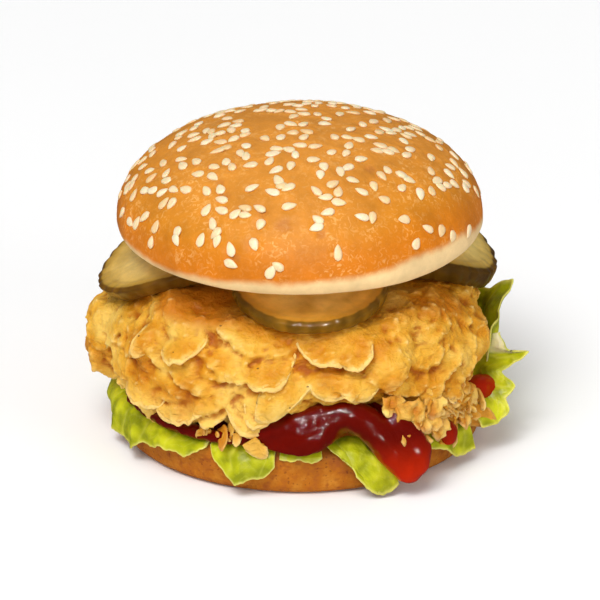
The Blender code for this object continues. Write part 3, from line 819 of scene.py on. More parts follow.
def makeCoat():
    look = coatLook
    front = np.linspace(172, 372, look["frontColumns"], endpoint=False)
    back = np.linspace(12, 172, look["backColumns"], endpoint=False)
    angles = np.sort(np.concatenate([front, back]) % 360)
    base = ringSkin("chicken", angles, look["ringRadius"], 128, 5, 1.2)
    angle = np.broadcast_to(angles[None], base.shape[:2])
    z = base[..., 2]
    wall = smooth(34, 42, fromAxis(base))
    normal = gridNormals(base)
    push = sum(out * bump(angle, at, wide) * bell(z - height, tall)
               for at, height, wide, tall, out in coatForms)
    push = push + 1.7 * rough(base, 11.0, 2, 2)
    body = base + normal * (push * wall)[..., None]
    scale, drop = coatScales(base, angle)
    # layers of batter whose lower lips meander and end in lobes
    warp = 1.05 * noise(base, 15.0, 61) + 0.42 * noise(base, 7.0, 62) + 0.46 * np.abs(noise(base, 5.0, 63))
    warp = warp + 0.26 * np.abs(noise(base, 2.5, 64)) + 0.10 * noise(base, 1.3, 65)
    layer = z / look["layer"] + warp
    into = layer - np.floor(layer)
    own = noise(base + 40.0 * np.floor(layer)[..., None], 11.0, 66)
    ledge = look["layerLift"] * np.clip(0.55 + 0.75 * own, 0.1, 1.2) * unit(into / 0.10) * (1 - into) ** 1.5
    drop = np.maximum(drop, 0.9 * ledge * smooth(0.45, 0.05, into))
    # tight folds, like wrinkled cloth
    fold = np.max([bump(angle, at, wide) * bell(z - height, tall)
                   for at, height, wide, tall in foldZones], axis=0)
    fold = unit(1.35 * fold)
    warped = body + 1.3 * np.stack([noise(body, 5.0, 30 + k) for k in range(3)], axis=-1)
    spots = np.stack([np.radians(angle) * coatReach, warped[..., 2] * 0.62, warped[..., 0] * 0.15], axis=-1)
    first, second, tag = pillows(spots + 0.9 * rough(body, 4.0, 40, 2)[..., None], 2.9, 11)
    puff = np.sqrt(unit((second - first) / 0.42)) * (0.85 + 0.5 * tag)
    relief = (ledge + 0.7 * scale) * (1 - 0.75 * fold) + look["folds"] * (puff - 0.75) * fold
    flat = body * [1.0, 1.0, 2.1]  # horizontal ripples, like layers of batter
    relief += 0.9 * ridges(flat, 9.0, 81) + 0.3 * ridges(flat, 4.5, 82)
    relief += 0.30 * rough(body, 2.6, 50) - 1.1
    grid = body + normal * (relief * wall)[..., None]
    grid[..., 2] -= drop * wall * (1 - fold)
    return angles, body, closedSkin(grid)


def makeCoatFinish():
    look = coatLook
    finish, wires = finishOf("friedCoat", roughness=0.45, glow=0.15, glowReach=0.0015, specular=0.12,
                             glowTint=(1.0, 0.6, 0.2))
    position = wires.place()
    blotch = wires.cloud(position, 130.0, detail=4.0, roughness=0.55)
    share = wires.maths("ADD", wires.times(wires.value("toast"), 0.55), wires.times(blotch, 0.5))
    tone = wires.ramp(share, (0.30, look["brown"]), (0.45, look["amber"]), (0.60, look["golden"]),
                      (0.75, look["straw"]))
    # painted light and shade: pale crests and lips as painted highlight, darker hollows, recesses and roots
    # as painted shade
    for name, amount in dict(raised=0.75, hollow=0.85, deep=0.85, root=0.85, lip=0.8).items():
        tone = wires.blend(wires.times(wires.value(name), amount), tone, look[name])
    pepper = wires.group(speckle, size=0.0045, dot=0.07, share=0.3)["mask"]
    wires.paint(wires.blend(wires.times(pepper, 0.8), tone, look["pepper"]), 0.006, 0.2)
    # fine crinkles, longer across than down
    flat = wires.add("VectorMath", {0: position, 1: (1.0, 1.0, 1.7)}, operation="MULTIPLY").outputs[0]
    crinkle = wires.cloud(flat, 260.0, detail=3.0, roughness=0.5, distortion=0.6)
    crest = wires.maths("ABSOLUTE", wires.maths("SUBTRACT", crinkle, 0.5), 0.0)
    relief = wires.add("Bump", {"Strength": 1.0, "Distance": 0.0011, "Height": crest,
                                "Normal": wires.grain(0.0013, 0.00030)}, invert=True)
    wires.put(wires.shader["Normal"], relief.outputs["Normal"])
    return finish


# flakes that stand off the coating: angle, lip height, width, length, lift, lean, curl, paleness
bigFlakes = [
    (233, 36.5, 11, 6, 2.2, 4, 0.2, 1), (222, 36, 5, 7.5, 1.8, -18, 0.3, 0.9),
    (260.5, 32, 14, 8, 2.6, 10, 0.3, 1), (254, 41, 20, 4, 1.2, -3, 0.2, 0.6),
    (258, 38.6, 19, 4.5, 1.5, -5, 0.2, 0.7), (246, 33, 13, 6, 1.8, 12, 0.2, 0.5),
    (238, 28.5, 16, 7, 1.8, -6, 0.1, 0.6), (271, 23, 10, 18, 4, -30, 0.5, 1),
    (254, 18.6, 12, 11, 3.6, 2, 0.4, 1), (260, 20.8, 9, 12, 3.6, -12, 0.3, 0.9),
    (233, 19.2, 17, 9, 2.8, 7, 0.3, 1), (219, 21.2, 15, 9, 2.4, 14, 0.3, 0.9),
    (244, 19.4, 9, 8, 2, 0, 0.2, 0.5), (226, 24, 15, 8, 1.8, 10, 0.2, 0.7),
    (242, 23, 13, 8, 1.8, -4, 0.2, 0.6), (207, 24.5, 10, 9, 1.6, 14, 0.2, 0.6),
    (192, 27, 9, 13, 1.4, 4, 0.2, 0.6), (200, 31, 8, 10, 1.2, 8, 0.2, 0.4),
    (277, 37.6, 14, 6, 2.4, 2, 0.5, 0.9), (287, 37.4, 10, 7.5, 2.6, 4, 0.6, 0.9),
    (279, 28.8, 11, 7, 2, -10, 0.3, 0.9), (287, 28.2, 11, 6.5, 2.2, 4, 0.3, 0.9),
    (275.5, 22.8, 7, 8.5, 2.4, -8, 0.4, 1), (270, 25.5, 7, 9, 2.4, -24, 0.3, 0.8),
    (298, 30.4, 14, 10, 1.8, 0, 0.3, 0.7), (309, 33, 12, 8, 1.6, 16, 0.3, 0.7),
    (334, 27.5, 13, 9, 2, 20, 0.3, 0.7), (327, 31, 11, 8, 1.6, 10, 0.3, 0.6),
    (302, 26.4, 13, 7, 3, 12, 0.5, 0.6), (309, 24, 13, 8, 3, 16, 0.5, 0.5),
    (318, 21.5, 11, 9, 2.6, 18, 0.5, 0.4), (315, 28.5, 16, 6, 2.4, 14, 0.4, 0.6),
    (324, 26.5, 11, 7, 2.2, 22, 0.4, 0.5), (331, 23, 8, 8, 2, 12, 0.4, 0.5),
    (341, 26, 8, 9, 1.2, 6, 0.3, 0.5), (350, 32, 9, 9, 1.6, 6, 0.3, 0.6), (20, 22, 12, 9, 1.6, 0, 0.3, 0.6),
    (45, 24, 15, 9, 2, -8, 0.3, 0.7), (75, 20, 16, 10, 2.2, 5, 0.4, 0.8), (100, 24, 14, 9, 2, 10, 0.3, 0.7),
    (125, 20, 16, 10, 2.2, -6, 0.4, 0.8), (150, 23, 14, 9, 1.8, 4, 0.3, 0.7),
    (60, 34, 12, 7, 1.8, 12, 0.3, 0.7), (112, 36, 13, 7, 1.8, -10, 0.3, 0.7),
    (140, 36, 11, 7, 1.6, 8, 0.3, 0.6), (165, 30, 11, 8, 1.6, 0, 0.3, 0.6),
    (85, 44, 13, 5, 1.4, 0, 0.2, 0.5), (30, 42, 10, 6, 1.4, 0, 0.2, 0.5),
]


# table of the coating's radius for every degree and millimetre of height
def wallTable(angles, body):
    levels = np.arange(10.0, 60.0, 1.0)
    table = np.zeros((360, len(levels)))
    for degree in range(360):
        column = body[:, np.argmin(np.abs(turnGap(angles, degree)))]
        radius = fromAxis(column)
        outer = radius > 37
        table[degree] = np.interp(levels, column[outer][:, 2], radius[outer])
    return soften(table.T, 1.0, 1.5).T, levels


def lookUp(wall, angle, z):
    table, levels = wall
    a = angle % 360
    k = np.clip(z, levels[0], levels[-1] - 1.001) - levels[0]
    i, j = np.floor(a).astype(int), np.floor(k).astype(int)
    across, up = a - i, k - j
    after = (i + 1) % 360
    i = i % 360
    low = table[i, j] * (1 - across) + table[after, j] * across
    high = table[i, j + 1] * (1 - across) + table[after, j + 1] * across
    return low * (1 - up) + high * up


# flat outline of a flake: across, and down from its root to a lip of uneven lobes
def flakeGrid(wide, long, seed, across, down):
    v, u = np.meshgrid(np.linspace(0, 1, down), np.linspace(-1, 1, across), indexing="ij")
    along = u * wide / 2 + 11.0 * seed
    flow = np.stack([along, 0 * along, 0 * along], axis=-1)
    lobes = 0.9 * np.abs(noise(flow, 3.4, seed)) + 0.35 * np.abs(noise(flow, 1.5, seed + 1)) - 0.45
    lobes = np.minimum(lobes * min(1.6, 0.22 * long), 0.5 * long)
    sides = np.stack([v * long, 3.0 * np.sign(u), 0 * u], axis=-1)
    x = u * (wide / 2 * (0.80 + 0.20 * v)) * (1 + 0.12 * noise(sides, 2.2, seed + 2))
    y = -v * (long * (1 - 0.50 * np.abs(u) ** 2.6 + 0.25 * np.sin(3.7 * seed) * u) - lobes)
    return u, v, x, y


# one flake bent over the coating: across, down, its own flat grid, and the points and faces of its sheet
def flakeSheet(wall, number, flake, thickness, rooted):
    at, lipZ, wide, long, lift, lean, curl, _ = flake
    across, down = (int(17 + 1.3 * wide), 15) if wide > 6 else (19, 12)
    u, v, x, y = flakeGrid(wide, long, 100 + number, across, down)
    tilt = math.radians(lean)
    a = x * math.cos(tilt) - y * math.sin(tilt)
    b = x * math.sin(tilt) + y * math.cos(tilt) + long * math.cos(tilt)
    z = lipZ + b
    angle = at + np.degrees(a / coatReach)
    flow = np.stack([a + 7.0 * number, b, 0 * a], axis=-1)
    off = -rooted + (lift + rooted) * v ** 0.8 + curl * 1.2 * v ** 5 - 0.7 * lift * np.abs(u) ** 3
    off = off + (0.25 + 0.75 * v) * (1.0 * noise(flow, 4.2, number) + 0.35 * noise(flow, 1.9, number))
    middle = polar(lookUp(wall, angle, np.maximum(z, 23.5)) + off, angle, z)
    return u, v, flow, *sheet(middle, thickness * (1 + 1.1 * (1 - v)), polar(1.0, angle, 0.0))


# the coated fillet and its flakes, fused into one skin
def makeChicken():
    rng = np.random.default_rng(77)
    angles, body, skin = makeCoat()
    wall = wallTable(angles, body)
    blocks = [skin]
    for number, flake in enumerate(bigFlakes):
        blocks.append(flakeSheet(wall, 200 + number, flake, 1.0, 1.6)[3:])
    for number in range(coatLook["flakes"]):
        at = rng.uniform(165, 375) if rng.random() < 0.7 else rng.uniform(15, 165)
        flake = (at, rng.uniform(18, 45), rng.uniform(3.0, 9.0), rng.uniform(3, 8), rng.uniform(0.4, 1.5),
                 rng.normal(0, 42), rng.uniform(-0.2, 0.5), 1.0)
        blocks.append(flakeSheet(wall, number, flake, 0.95, 1.5)[3:])
    points, normals, faces, edges = fuse(blocks, coatLook["voxel"], 1)
    # fine crinkles over the batter, longer across than down
    bent = points + 0.9 * np.stack([noise(points, 3.0, 86 + k) for k in range(3)], axis=-1)
    ripple = 0.40 * ridges(bent * [1.0, 1.0, 2.0], 3.8, 83)
    ripple += 0.12 * ridges(bent * [1.0, 1.0, 1.5], 2.0, 84) + 0.16 * rough(points, 2.6, 50, 2) - 0.2
    points = points + normals * (smooth(30, 40, fromAxis(points)) * ripple)[:, None]
    # how far each point stands out at three sizes, for the painted highlight on lips and crests and the
    # painted shade in hollows and recesses
    lip, near, far = [standOut(points, normals, edges, passes) for passes in (6, 22, 110)]
    toast = unit(0.5 + 0.5 * rough(points, 14.0, 70))
    around, z = np.degrees(np.arctan2(points[:, 1], points[:, 0])), points[:, 2]
    # browner low at the right front, by the sauce
    low = smooth(26, 18, z) * bump(around, 318, 16)
    # painted shade on the top of the coating, under the crown and the pickles, more at the front left
    high = smooth(42.0, 47.5, z + 2.5 * noise(points, 9.0, 90)) * (0.45 + 0.55 * bump(around, 232, 50))
    # paler low at the front and front left
    pale = smooth(28, 20, z) * unit(bump(around, 232, 45) + bump(around, 275, 30))
    heap = meshHeap()
    # painted light and shade in the coat's colour: paler on crests and lips, darker in hollows and recesses,
    # under the left pickle and under the crown
    heap.add(points, [faces], lip=0.85 * smooth(0.20, 0.50, lip), hollow=smooth(0.0, -0.55, near),
             raised=np.maximum(0.8 * smooth(0.05, 0.9, near), 0.55 * pale),
             deep=np.maximum(smooth(-0.2, -1.4, far), 0.6 * high ** 2 * bump(around, 232, 40)),
             toast=unit(toast + 0.2 * pale), root=np.maximum(0.8 * low, 0.95 * high))
    heap.build("chickenCoat", coatFinish, "chicken")
    return wall


# crumbs and shreds of coating: smallest and largest in mm, and how pale a flake is to get a crisp lip
crumbLook = dict(smallest=0.9, largest=4.4, crisp=0.9)
# heaps of shreds: angle, height, distance from the axis, spread in degrees and mm, how many
shredHeaps = [(321, 17.5, 53, 9, 6, 90), (313, 20, 53.5, 6, 4, 45), (331, 15.5, 53, 5, 4, 40),
              (304, 21, 54.6, 4, 2.5, 16), (302, 13.5, 56.6, 1.6, 2, 4), (258, 15, 53, 1, 1.6, 3),
              (246, 16.6, 51.6, 6, 1.2, 22), (318, 24, 52.5, 9, 3, 24), (284, 31.5, 49.5, 7, 1.5, 14)]
# larger flakes stuck to the sauce: angle, height, distance from the axis, size
stuckFlakes = [(302, 21.8, 55.6, 9.5), (300.5, 15.8, 58.2, 6), (308.5, 18.4, 55.6, 8), (297.5, 24.8, 53.8, 7),
               (305, 19.2, 56.4, 6), (311, 22, 55.2, 7), (325, 13.2, 54.8, 5), (313, 14.6, 55.4, 7),
               (318, 21, 54.4, 8.5), (330, 19, 53.6, 6.5), (306, 13.4, 57, 4)]


def makeCrumbs(wall):
    rng = np.random.default_rng(91)
    heap = meshHeap()
    for number, flake in enumerate(bigFlakes):  # thin lips over the palest flakes of the coating
        at, lipZ, wide, long, lift, lean, curl, paleness = flake
        if paleness < crumbLook["crisp"]:
            continue
        longer = (at, lipZ - 0.5, wide + 0.3, long + 0.6, lift + 0.45, lean, curl, paleness)
        u, v, flow, points, faces = flakeSheet(wall, 200 + number, longer, 0.5, 1.6)
        inset = np.minimum((1 - v) * long, (1 - np.abs(u)) * wide / 2 + 0.6 * (1 - v) * long)
        crease = noise(flow, 3.8, 200 + number)
        # painted shade towards each flake's root and in its creases, painted light towards its lip and on its
        # crests
        heap.addSheet(points, faces, hollow=unit(0.6 * (1 - v) ** 2 - 0.4 * crease) * (1 - 0.5 * v),
                      deep=0 * v,
                      raised=unit(0.8 * v + 0.5 * crease), lip=0.6 * bell(inset, 1.0),
                      toast=unit(0.25 + 0.4 * v + 0.3 * noise(flow, 5.0, number + 3)),
                      root=0.6 * (1 - v) ** 2)
    for number, (angle, z, radius, size) in enumerate(stuckFlakes):
        u, v, x, y = flakeGrid(size, 0.75 * size, 640 + number, 25, 17)
        angle = angle + np.degrees(x / radius)
        flow = np.stack([x + 13.0 * number, y, 0 * x], axis=-1)
        curl = 1.1 * noise(flow, 2.8, number) + 0.7 * noise(flow, 1.5, number + 1) - 1.6 * (1 - v) ** 2
        middle = polar(radius + curl, angle, z + y + 0.4 * size)
        crease = np.clip(0.6 * noise(flow, 3.4, number), -1, 1)
        # painted shade in each flake's dips and at its root, painted light on its crests and at its lip
        heap.addSheet(*sheet(middle, 0.45 + 0.5 * (1 - v), polar(1.0, angle, 0.0)),
                      hollow=unit(0.25 - crease) * 0.8,
                      deep=0 * v, raised=unit(0.45 + crease), lip=0.55 * bell((1 - v) * size, 1.5),
                      toast=unit(0.5 + crease), root=0.6 * (1 - v) ** 2)
    for at, height, radius, wide, tall, count in shredHeaps:
        for k in range(count):
            smallest, largest = crumbLook["smallest"], crumbLook["largest"]
            size = smallest + (largest - smallest) * rng.random() ** 1.6
            size *= 1.6 if k < 3 else 1.0
            u, v, x, y = flakeGrid(size, size * rng.uniform(0.8, 1.6), int(rng.integers(1, 900)), 9, 7)
            angle = at + rng.uniform(-1, 1) * wide
            z = height + rng.normal(0, 0.45) * tall
            spot = polar(radius + rng.uniform(-1.6, 0.6), angle, z)
            facing = polar(1.0, angle + rng.normal(0, 38), rng.normal(0.25, 0.5))
            facing /= np.linalg.norm(facing)
            side = np.cross([0, 0, 1.0], facing)
            side /= np.linalg.norm(side)
            turn = rng.normal(0, 0.8)
            first = side * math.cos(turn) + np.cross(facing, side) * math.sin(turn)
            second = np.cross(facing, first)
            lower = y + size / 2
            bend = rng.normal(0, 0.22) * (x ** 2) / size + rng.normal(0, 0.2) * lower ** 2 / size
            bend = bend + 0.4 * noise(np.stack([x + 9 * k, y, 0 * x], axis=-1), 1.4, k)
            middle = spot + x[..., None] * first + lower[..., None] * second + bend[..., None] * facing
            pale = rng.uniform(0.3, 1.0)
            # painted highlight at each shred's lip and painted shade at its root; each shred also gets its
            # own random darkness and paleness
            heap.addSheet(*sheet(middle, 0.35 + 0.35 * (1 - v)), deep=0 * v,
                          hollow=0 * v + rng.uniform(0, 0.35),
                          raised=0.7 * pale * v, lip=0.8 * bell((1 - v) * size, 0.6) * pale,
                          toast=0 * v + pale * 0.8, root=(1 - v) * rng.uniform(0, 0.7))
    heap.build("coatShreds", coatFinish, "chicken")


sauceLook = dict(voxel=0.68, settle=10, lumps=0.30, ripples=0.21,
                 dark=(0.115, 0.0022, 0.0002), bright=(0.48, 0.018, 0.0010))
# thick parts: points of a rope with their radius
sauceRopes = [
    [(-46.2, -20, 15.2, 1.3), (-42, -27.6, 15.2, 1.7), (-36.4, -34.8, 15.2, 1.9), (-30.4, -40.4, 15.3, 2),
     (-23.6, -44.6, 15.5, 2), (-17, -47, 15.8, 2.2), (-11, -48, 17.2, 3), (-5, -48.4, 19.2, 4),
     (1, -48, 20.4, 4.4), (7, -47.8, 22, 4.5), (13, -47.4, 22.8, 4.5), (18, -47.6, 20.4, 4.5),
     (21.5, -48.4, 16.6, 4.6), (25, -49, 12.2, 4.6), (28.2, -49.2, 8.4, 4.5)],
    [(25, -46.5, 20, 3.6), (29, -46.8, 16, 4), (31, -47.2, 12.4, 4.2), (30.6, -48.2, 9.4, 4),
     (28.8, -48.6, 7.6, 4)],
    [(-5, -43, 23, 2.6), (3, -42, 24.6, 3.2), (11, -41, 25.6, 3.2), (18, -40.5, 24, 3.2),
     (25, -39.5, 20.5, 3.4), (33, -37, 18, 3)],
    [(44, -20, 16.6, 2.6), (48.5, -16, 16.4, 3.8), (50.6, -13.5, 15.4, 4.2)],
    [(36, -37, 15.4, 2.4), (39.6, -36.4, 13.2, 2.9), (40, -36.4, 11, 2.4)],
]


def alongLine(line, u):
    line = np.array(line, float)
    at = np.linspace(0, 1, len(line))
    return np.stack([np.interp(u, at, line[:, k]) for k in range(line.shape[1])], axis=-1)


def ball(spot, radius):
    rows = np.radians(np.linspace(-80, 80, 9))[:, None]
    return closedSkin(polar(radius * np.cos(rows), turnsOf(14)[None], radius * np.sin(rows)) + spot)


def makeSauce():
    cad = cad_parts["sauce"].data
    raw = np.round(np.array([v.co for v in cad.vertices]) / mm - axisSpot, 4)
    merged, index = np.unique(raw, axis=0, return_inverse=True)
    index = index.reshape(-1)
    blocks = [(merged, [np.array([index[list(p.vertices)] for p in cad.polygons])])]
    for rope in sauceRopes:
        rope = np.array(rope, float)
        for step in np.linspace(0, len(rope) - 1, 9 * len(rope)):
            x, y, z, r = [np.interp(step, np.arange(len(rope)), rope[:, k]) for k in range(4)]
            blocks.append(ball(np.array([x, y, z]), r))
    points, normals, faces, _ = fuse(blocks, sauceLook["voxel"], sauceLook["settle"])
    uneven = sauceLook["lumps"] * noise(points, 6.0, 8) + sauceLook["ripples"] * noise(points, 2.2, 9)
    points = points + normals * uneven[:, None]
    # the drip over the heel and the blob at the right are painted brighter red: they are thinner, and the
    # brighter red is also painted light on them
    drip = smooth(19.0, 5.0, points[:, 2]) * smooth(14, 22, points[:, 0])
    heap = meshHeap()
    heap.add(points, [faces], drip=np.maximum(drip, 0.75 * smooth(43.0, 48.0, points[:, 0])))
    finish, wires = finishOf("redSauce", roughness=0.3, specular=0.02, coat=0.8, coatRoughness=0.025,
                             coatIndex=1.45)
    wires.paint(wires.blend(wires.value("drip"), sauceLook["dark"], sauceLook["bright"]), 0.006, 0.2)
    wires.put(wires.shader["Normal"], wires.grain(0.0022, 0.0001))
    wires.put(wires.shader["Coat Normal"], wires.grain(0.0030, 0.00030))
    heap.build("sauceLayer", finish, "sauce")


leafLook = dict(thickness=0.62, lift=1.05, start=22.0, ribGap=13.0, veinGap=5.2, crinkle=0.28, veins=0.22,
                bright=(0.42, 0.43, 0.004), lit=(0.56, 0.56, 0.012), pale=(0.62, 0.60, 0.08),
                shade=(0.27, 0.29, 0.004), edge=(0.74, 0.68, 0.16), rib=(0.78, 0.70, 0.42))
# each leaf: first and last angle, tip heights across it, ruffles, ruffle depth, flare, slant, lobes
leaves = dict(
    left=(174, 241, (14, 9, 7, 4.4, 4, 4.2, 7.5, 9, 8.2, 12.5), 4.5, 1.5, 0.5, 0, 0.7),
    front=(242, 262.5, (13, 9, 5.2, 3.8, 4.2, 5.6, 6, 9.6), 1, 1.5, 0.9, 0, 0.5),
    fringe=(264, 276.5, (11.5, 10.8, 11.2, 10.4, 11.6), 1.5, 0.4, 0.2, 0, 0.5),
    tongue=(277.5, 290, (7, 3.6, 1.6, 0.9, 1.1, 3), 0.6, 1, 3.2, 8, 0.4),
    right_front=(307, 329, (11, 9.5, 7.6, 5, 3.4, 4.4), 1.4, 1.8, 1.6, 0, 0.8),
    back=(48, 108, (9, 6, 4.8, 6, 4.8, 5.4, 9), 4.2, 2, 0.8, 0, 0.9),
    back_left=(112, 170, (9, 5, 4.2, 5.4, 4, 5.2, 9), 3.8, 1.9, 0.7, 0, 0.9),
)


# how far along the heel's surface each row of a leaf lies
def leafRuns(last, v):
    start, edge = leafLook["start"], heelLook["topRadius"] - 1.0
    return start + (edge - start) * np.minimum(6 * v, 1) + (last - edge) * np.clip(v - 1 / 6, 0, 1) * 6 / 5


# makes one leaf from the middle of its thickness, with its veins raised and marked
def buildLeaf(name, node, middle, u, v, seed, rib=0.0):
    look = leafLook
    span = np.linalg.norm(np.diff(middle, axis=1), axis=-1).sum(axis=1).max()
    ran = np.stack([(u - 0.5) * span, v * 40, 0 * u], axis=-1)
    sway = ran[..., 0] + 1.6 * noise(ran, 9.0, seed)
    # side veins fan out from ribs
    fan = np.abs((sway / look["ribGap"] + 0.35 * v) % 1 - 0.5) * 2
    branch = (ran[..., 1] - 6.5 * fan) / look["veinGap"] + 0.3 * noise(ran, 7.0, seed + 1)
    branch = np.abs(branch % 1 - 0.5) * 2
    side = bell(1 - branch, 0.15) * smooth(1.0, 0.25, fan) * 0.55
    vein = unit(bell(1 - fan, 0.085) * (1 - 0.45 * v) + side)
    crinkle = rough(middle, 4.2, seed + 2, 2)
    normal = gridNormals(middle, wrap=False)
    out = middle * [1, 1, 0]
    normal = normal * np.sign((normal * out).sum(-1).mean())
    relief = (look["crinkle"] * crinkle - look["veins"] * vein) * smooth(0.15, 0.4, v)
    ends = np.minimum(u, 1 - u)
    rim = smooth(0.10, 0.0, 1 - v) + smooth(0.035, 0.0, ends)
    thickness = look["thickness"] * (1 - 0.45 * unit(rim) + 0.35 * vein)
    edge = unit(smooth(0.05, 0.0, 1 - v) + smooth(0.02, 0.0, ends))
    heap = meshHeap()
    heap.addSheet(*sheet(middle + normal * relief[..., None], thickness, out), vein=vein, edge=edge,
                  fold=unit(0.5 + 0.6 * crinkle), rib=0 * v + rib)
    heap.build(name, leafFinish, node)


def makeLeafFinish():
    look = leafLook
    finish, wires = finishOf("lettuceLeaf", roughness=0.35, glow=0.3, glowReach=0.002, specular=0.2,
                             glowTint=(0.8, 1.0, 0.1))
    tone = wires.ramp(wires.value("fold"), (0.15, look["shade"]), (0.5, look["bright"]), (0.9, look["lit"]))
    tone = wires.blend(wires.times(wires.value("vein"), 0.55), tone, look["pale"])
    tone = wires.blend(wires.times(wires.value("edge"), 0.85), tone, look["edge"])
    wires.paint(wires.blend(wires.value("rib"), tone, look["rib"]), 0.007, 0.28)
    wires.put(wires.shader["Normal"], wires.grain(0.0018, 0.00025))
    return finish


# a leaf that hangs over the heel's shoulder
def makeLeaf(name, node, look, seed):
    first, last, tipHeights, ruffles, depth, flare, slant, lobes = look
    u, v = np.meshgrid(np.linspace(0, 1, int(26 + (last - first) * 2.1)), np.linspace(0, 1, 54))
    arc = (last - first) * 0.9
    tips = np.interp(u, np.linspace(0, 1, len(tipHeights)), tipHeights)
    tips = tips + lobes * lineNoise(u * arc, 4.0, seed) + 0.35 * lineNoise(u * arc, 1.2, seed + 1)
    end = heelLook["topRadius"] + heelLook["shoulderRun"] + heelLook["widest"] - np.maximum(tips, 1.0)
    runs = leafRuns(end, v)
    radius, z = drape(runs, leafLook["lift"])
    free = smooth(47.5, 56.0, runs)
    angle = first + (last - first) * u + slant * smooth(0.4, 1.0, v)
    phase = 2 * math.pi * (ruffles * u + 0.22 * noise(np.stack([u * arc, v * 6, 0 * u], axis=-1), 9.0, seed))
    radius = radius + free * (depth * (0.5 - 0.5 * np.cos(phase)) + flare * v ** 3)
    angle = angle + free * np.sin(phase) * 0.5 * depth
    buildLeaf(name, node, polar(radius, angle, z), u, v, seed)


# free edge of the curled leaf, from its low end to its high end, and the line it springs from
curlLook = dict(edge=((49.5, -25, 8.5), (53.5, -22.5, 8.8), (57, -20, 11.5), (56, -18.5, 14.5),
                      (59.5, -17, 17.5), (54.8, -13.5, 20.3), (58.5, -13, 22.6), (63.5, -12, 25.8),
                      (56.6, -10.5, 25.2), (54.8, -7, 29.5)),
                spring=((44, -20, 15.3), (46.5, -16, 15.6), (48.5, -11, 17.5), (50.5, -7, 22),
                        (50.8, -4, 27.5)), ruffles=2.4)


# the leaf that sticks out past the heel at the right front and curls up, forked at its tip
def makeRightCurl():
    u, v = np.meshgrid(np.linspace(0, 1, 110), np.linspace(0, 1, 56))
    edge = soften(alongLine(curlLook["edge"], u[0])[None], 0, 1.6, wrap=False)
    spring = alongLine(curlLook["spring"], u)
    start = polar(26.0, np.degrees(np.arctan2(spring[..., 1], spring[..., 0])), heelHeight + 1.0)
    inward, outward = unit(v / 0.35), unit((v - 0.35) / 0.65)
    middle = start + (spring - start) * inward[..., None] + (edge - spring) * outward[..., None]
    puff = np.sin(math.pi * outward) * (1.5 + 1.3 * np.sin(2 * math.pi * curlLook["ruffles"] * u))
    middle = middle + np.array([0.45, -0.85, 0.3]) * puff[..., None] * 0.55
    middle = middle + polar(0.6, 345, 0.0) * (outward * noise(middle, 3.0, 9))[..., None]
    rib = smooth(0.76, 0.84, u) * smooth(0.20, 0.35, v) * smooth(0.98, 0.80, v)
    buildLeaf("lettuceRightCurl", "lettuce_right_curl", middle, u, v, 61, rib)


# heights of the standing leaf at places across it, and where it turns up from the heel
standLook = dict(across=(0, 0.10, 0.22, 0.30, 0.38, 0.50, 0.70, 0.85, 1),
                 heights=(12, 13.5, 14.5, 19, 20.5, 15, 17, 15, 10), turnAt=47.0, bend=3.5,
                 first=350, wide=53, ruffles=3.1)


# the leaf that stands up beside the chicken at the right, folded at its front and curled out at the back
def makeRightLeaf():
    look = standLook
    u, v = np.meshgrid(np.linspace(0, 1, 96), np.linspace(0, 1, 72))
    turnAt, bend = look["turnAt"], look["bend"]
    tall = np.interp(u, look["across"], look["heights"]) + 1.5 * lineNoise(u * 40, 5.0, 3)
    arc = bend * math.pi / 2
    runs = leafRuns(turnAt + arc + tall, v)
    radius, z = drape(np.minimum(runs, turnAt), leafLook["lift"])
    turn = np.clip(runs - turnAt, 0, arc) / bend
    climb = np.maximum(runs - turnAt - arc, 0)
    phase = 2 * math.pi * (look["ruffles"] * u + 0.12 * np.sin(6 * v))
    flare = 0.10 + 0.32 * bell(u - 0.36, 0.10) * smooth(10, 18, climb)
    wave = smooth(0.0, 10.0, climb) * 2.0 * (0.5 - 0.5 * np.cos(phase))
    radius = radius + bend * np.sin(turn) + flare * climb + wave
    middle = polar(radius, look["first"] + look["wide"] * u, z + bend * (1 - np.cos(turn)) + climb)
    rib = smooth(0.14, 0.06, np.abs(u - 0.02)) * smooth(0.4, 0.5, v) * smooth(0.85, 0.65, v)
    buildLeaf("lettuceRight", "lettuce_right", middle, u, v, 71, rib)


makeHeel()
places = seedPlaces()
makeCrown(places)
makeSeeds(places)
print(f"bun made, with {len(places)} seeds")
for name, look in pickles.items():
    makePickle(name, look)
print("pickles made")
coatFinish = makeCoatFinish()
makeCrumbs(makeChicken())
print("chicken made")
makeSauce()
print("sauce made")
leafFinish = makeLeafFinish()
for number, (name, look) in enumerate(leaves.items()):
    makeLeaf("lettuce" + name.title().replace("_", ""), "lettuce_" + name, look, 300 + 7 * number)
makeRightCurl()
makeRightLeaf()
print("lettuce made")

# floor, light and camera: sizes and places in metres, places from the point that the camera looks at
stageLook = dict(floor=(0.96, 0.96, 0.96), sky=0.36, mirrored=0.06, backdrop=0.88, sun=1.85, sunSpread=40,
                 sunFrom=(-0.30, -0.55, 1.0), lookAt=0.0359, rise=22.4, lens=218.1, sensor=36.0)
floorMesh = bpy.data.meshes.new("floor")
floorMesh.from_pydata([(-4, -4, 0), (4, -4, 0), (4, 6, 0), (-4, 6, 0)], [], [(0, 1, 2, 3)])
floorFinish, wires = finishOf("floorPaint", roughness=0.8, specular=0.1)
wires.paint(stageLook["floor"], 0.3, 0.01)
floorMesh.materials.append(floorFinish)
floor = bpy.data.objects.new("floor", floorMesh)
bpy.context.scene.collection.objects.link(floor)
floor.visible_glossy = False

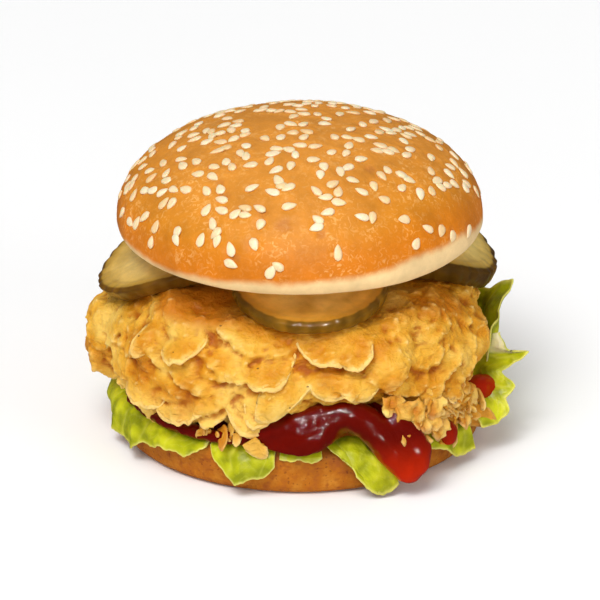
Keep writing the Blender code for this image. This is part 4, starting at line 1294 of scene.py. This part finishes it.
# what shines mirrors a darker room than the one that lights the rest, so wet and baked surfaces keep
# their colour, and the backdrop that the camera sees is paler than both
world = bpy.data.worlds.new("sky")
world.use_nodes = True
bpy.context.scene.world = world
sky = world.node_tree.nodes["Background"]
sky.inputs["Color"].default_value = (1, 1, 1, 1)
wires = wiring(world.node_tree)
sight = wires.add("LightPath").outputs
dimmed = wires.add("MapRange", {"Value": sight["Is Glossy Ray"], "To Min": stageLook["sky"],
                                "To Max": stageLook["mirrored"]}).outputs["Result"]
seen = wires.add("MapRange", {"Value": sight["Is Camera Ray"], "To Max": stageLook["backdrop"]})
wires.put(sky.inputs["Strength"], wires.maths("MAXIMUM", dimmed, seen.outputs["Result"]))

target = Vector((axisSpot[0] * mm, axisSpot[1] * mm, stageLook["lookAt"]))
# soft lights that light but aren't mirrored: place, size, power
softLights = dict(key=((-0.30, -0.62, 0.95), (0.26, 0.26), 2.4), fill=((0.8, -0.7, 0.45), (0.5, 0.5), 2.1),
                  front=((-0.15, -1.15, 0.28), (0.7, 0.5), 2.2), back=((0.2, 0.9, 0.8), (0.6, 0.3), 0.6))
# small lights that only make the wet highlights: place, size, power
glints = dict(glint=((-0.10, -0.75, 0.80), (0.12, 0.022), 10.0),
              highGlint=((0.06, -0.36, 1.05), (0.10, 0.018), 3.6),
              lowGlint=((0.10, -1.05, 0.22), (0.05, 0.02), 2.0))
for kind, shines in ((softLights, False), (glints, True)):
    for name, (place, size, power) in kind.items():
        data = bpy.data.lights.new(name + "Light", "AREA")
        data.shape = "RECTANGLE"
        data.size, data.size_y = size
        data.energy = power
        made = bpy.data.objects.new(name + "Light", data)
        made.location = target + Vector(place)
        made.rotation_euler = (target - made.location).to_track_quat("-Z", "Y").to_euler()
        made.visible_diffuse = not shines
        made.visible_glossy = shines
        bpy.context.scene.collection.objects.link(made)
sunData = bpy.data.lights.new("sun", "SUN")
sunData.energy = stageLook["sun"]
sunData.angle = math.radians(stageLook["sunSpread"])
sun = bpy.data.objects.new("sun", sunData)
sun.visible_glossy = False
sun.rotation_euler = Vector(stageLook["sunFrom"]).to_track_quat("Z", "Y").to_euler()
bpy.context.scene.collection.objects.link(sun)

cameraData = bpy.data.cameras.new("camera")
cameraData.lens = stageLook["lens"]
cameraData.sensor_width = stageLook["sensor"]
cameraData.clip_end = 30.0
camera = bpy.data.objects.new("camera", cameraData)
rise = math.radians(stageLook["rise"])
camera.location = target + Vector((0, -math.cos(rise), math.sin(rise)))
camera.rotation_euler = (math.radians(90) - rise, 0, 0)
bpy.context.scene.collection.objects.link(camera)
bpy.context.scene.camera = camera
bpy.context.scene.view_settings.view_transform = "Standard"
bpy.context.scene.view_settings.look = "None"
print("stage made")
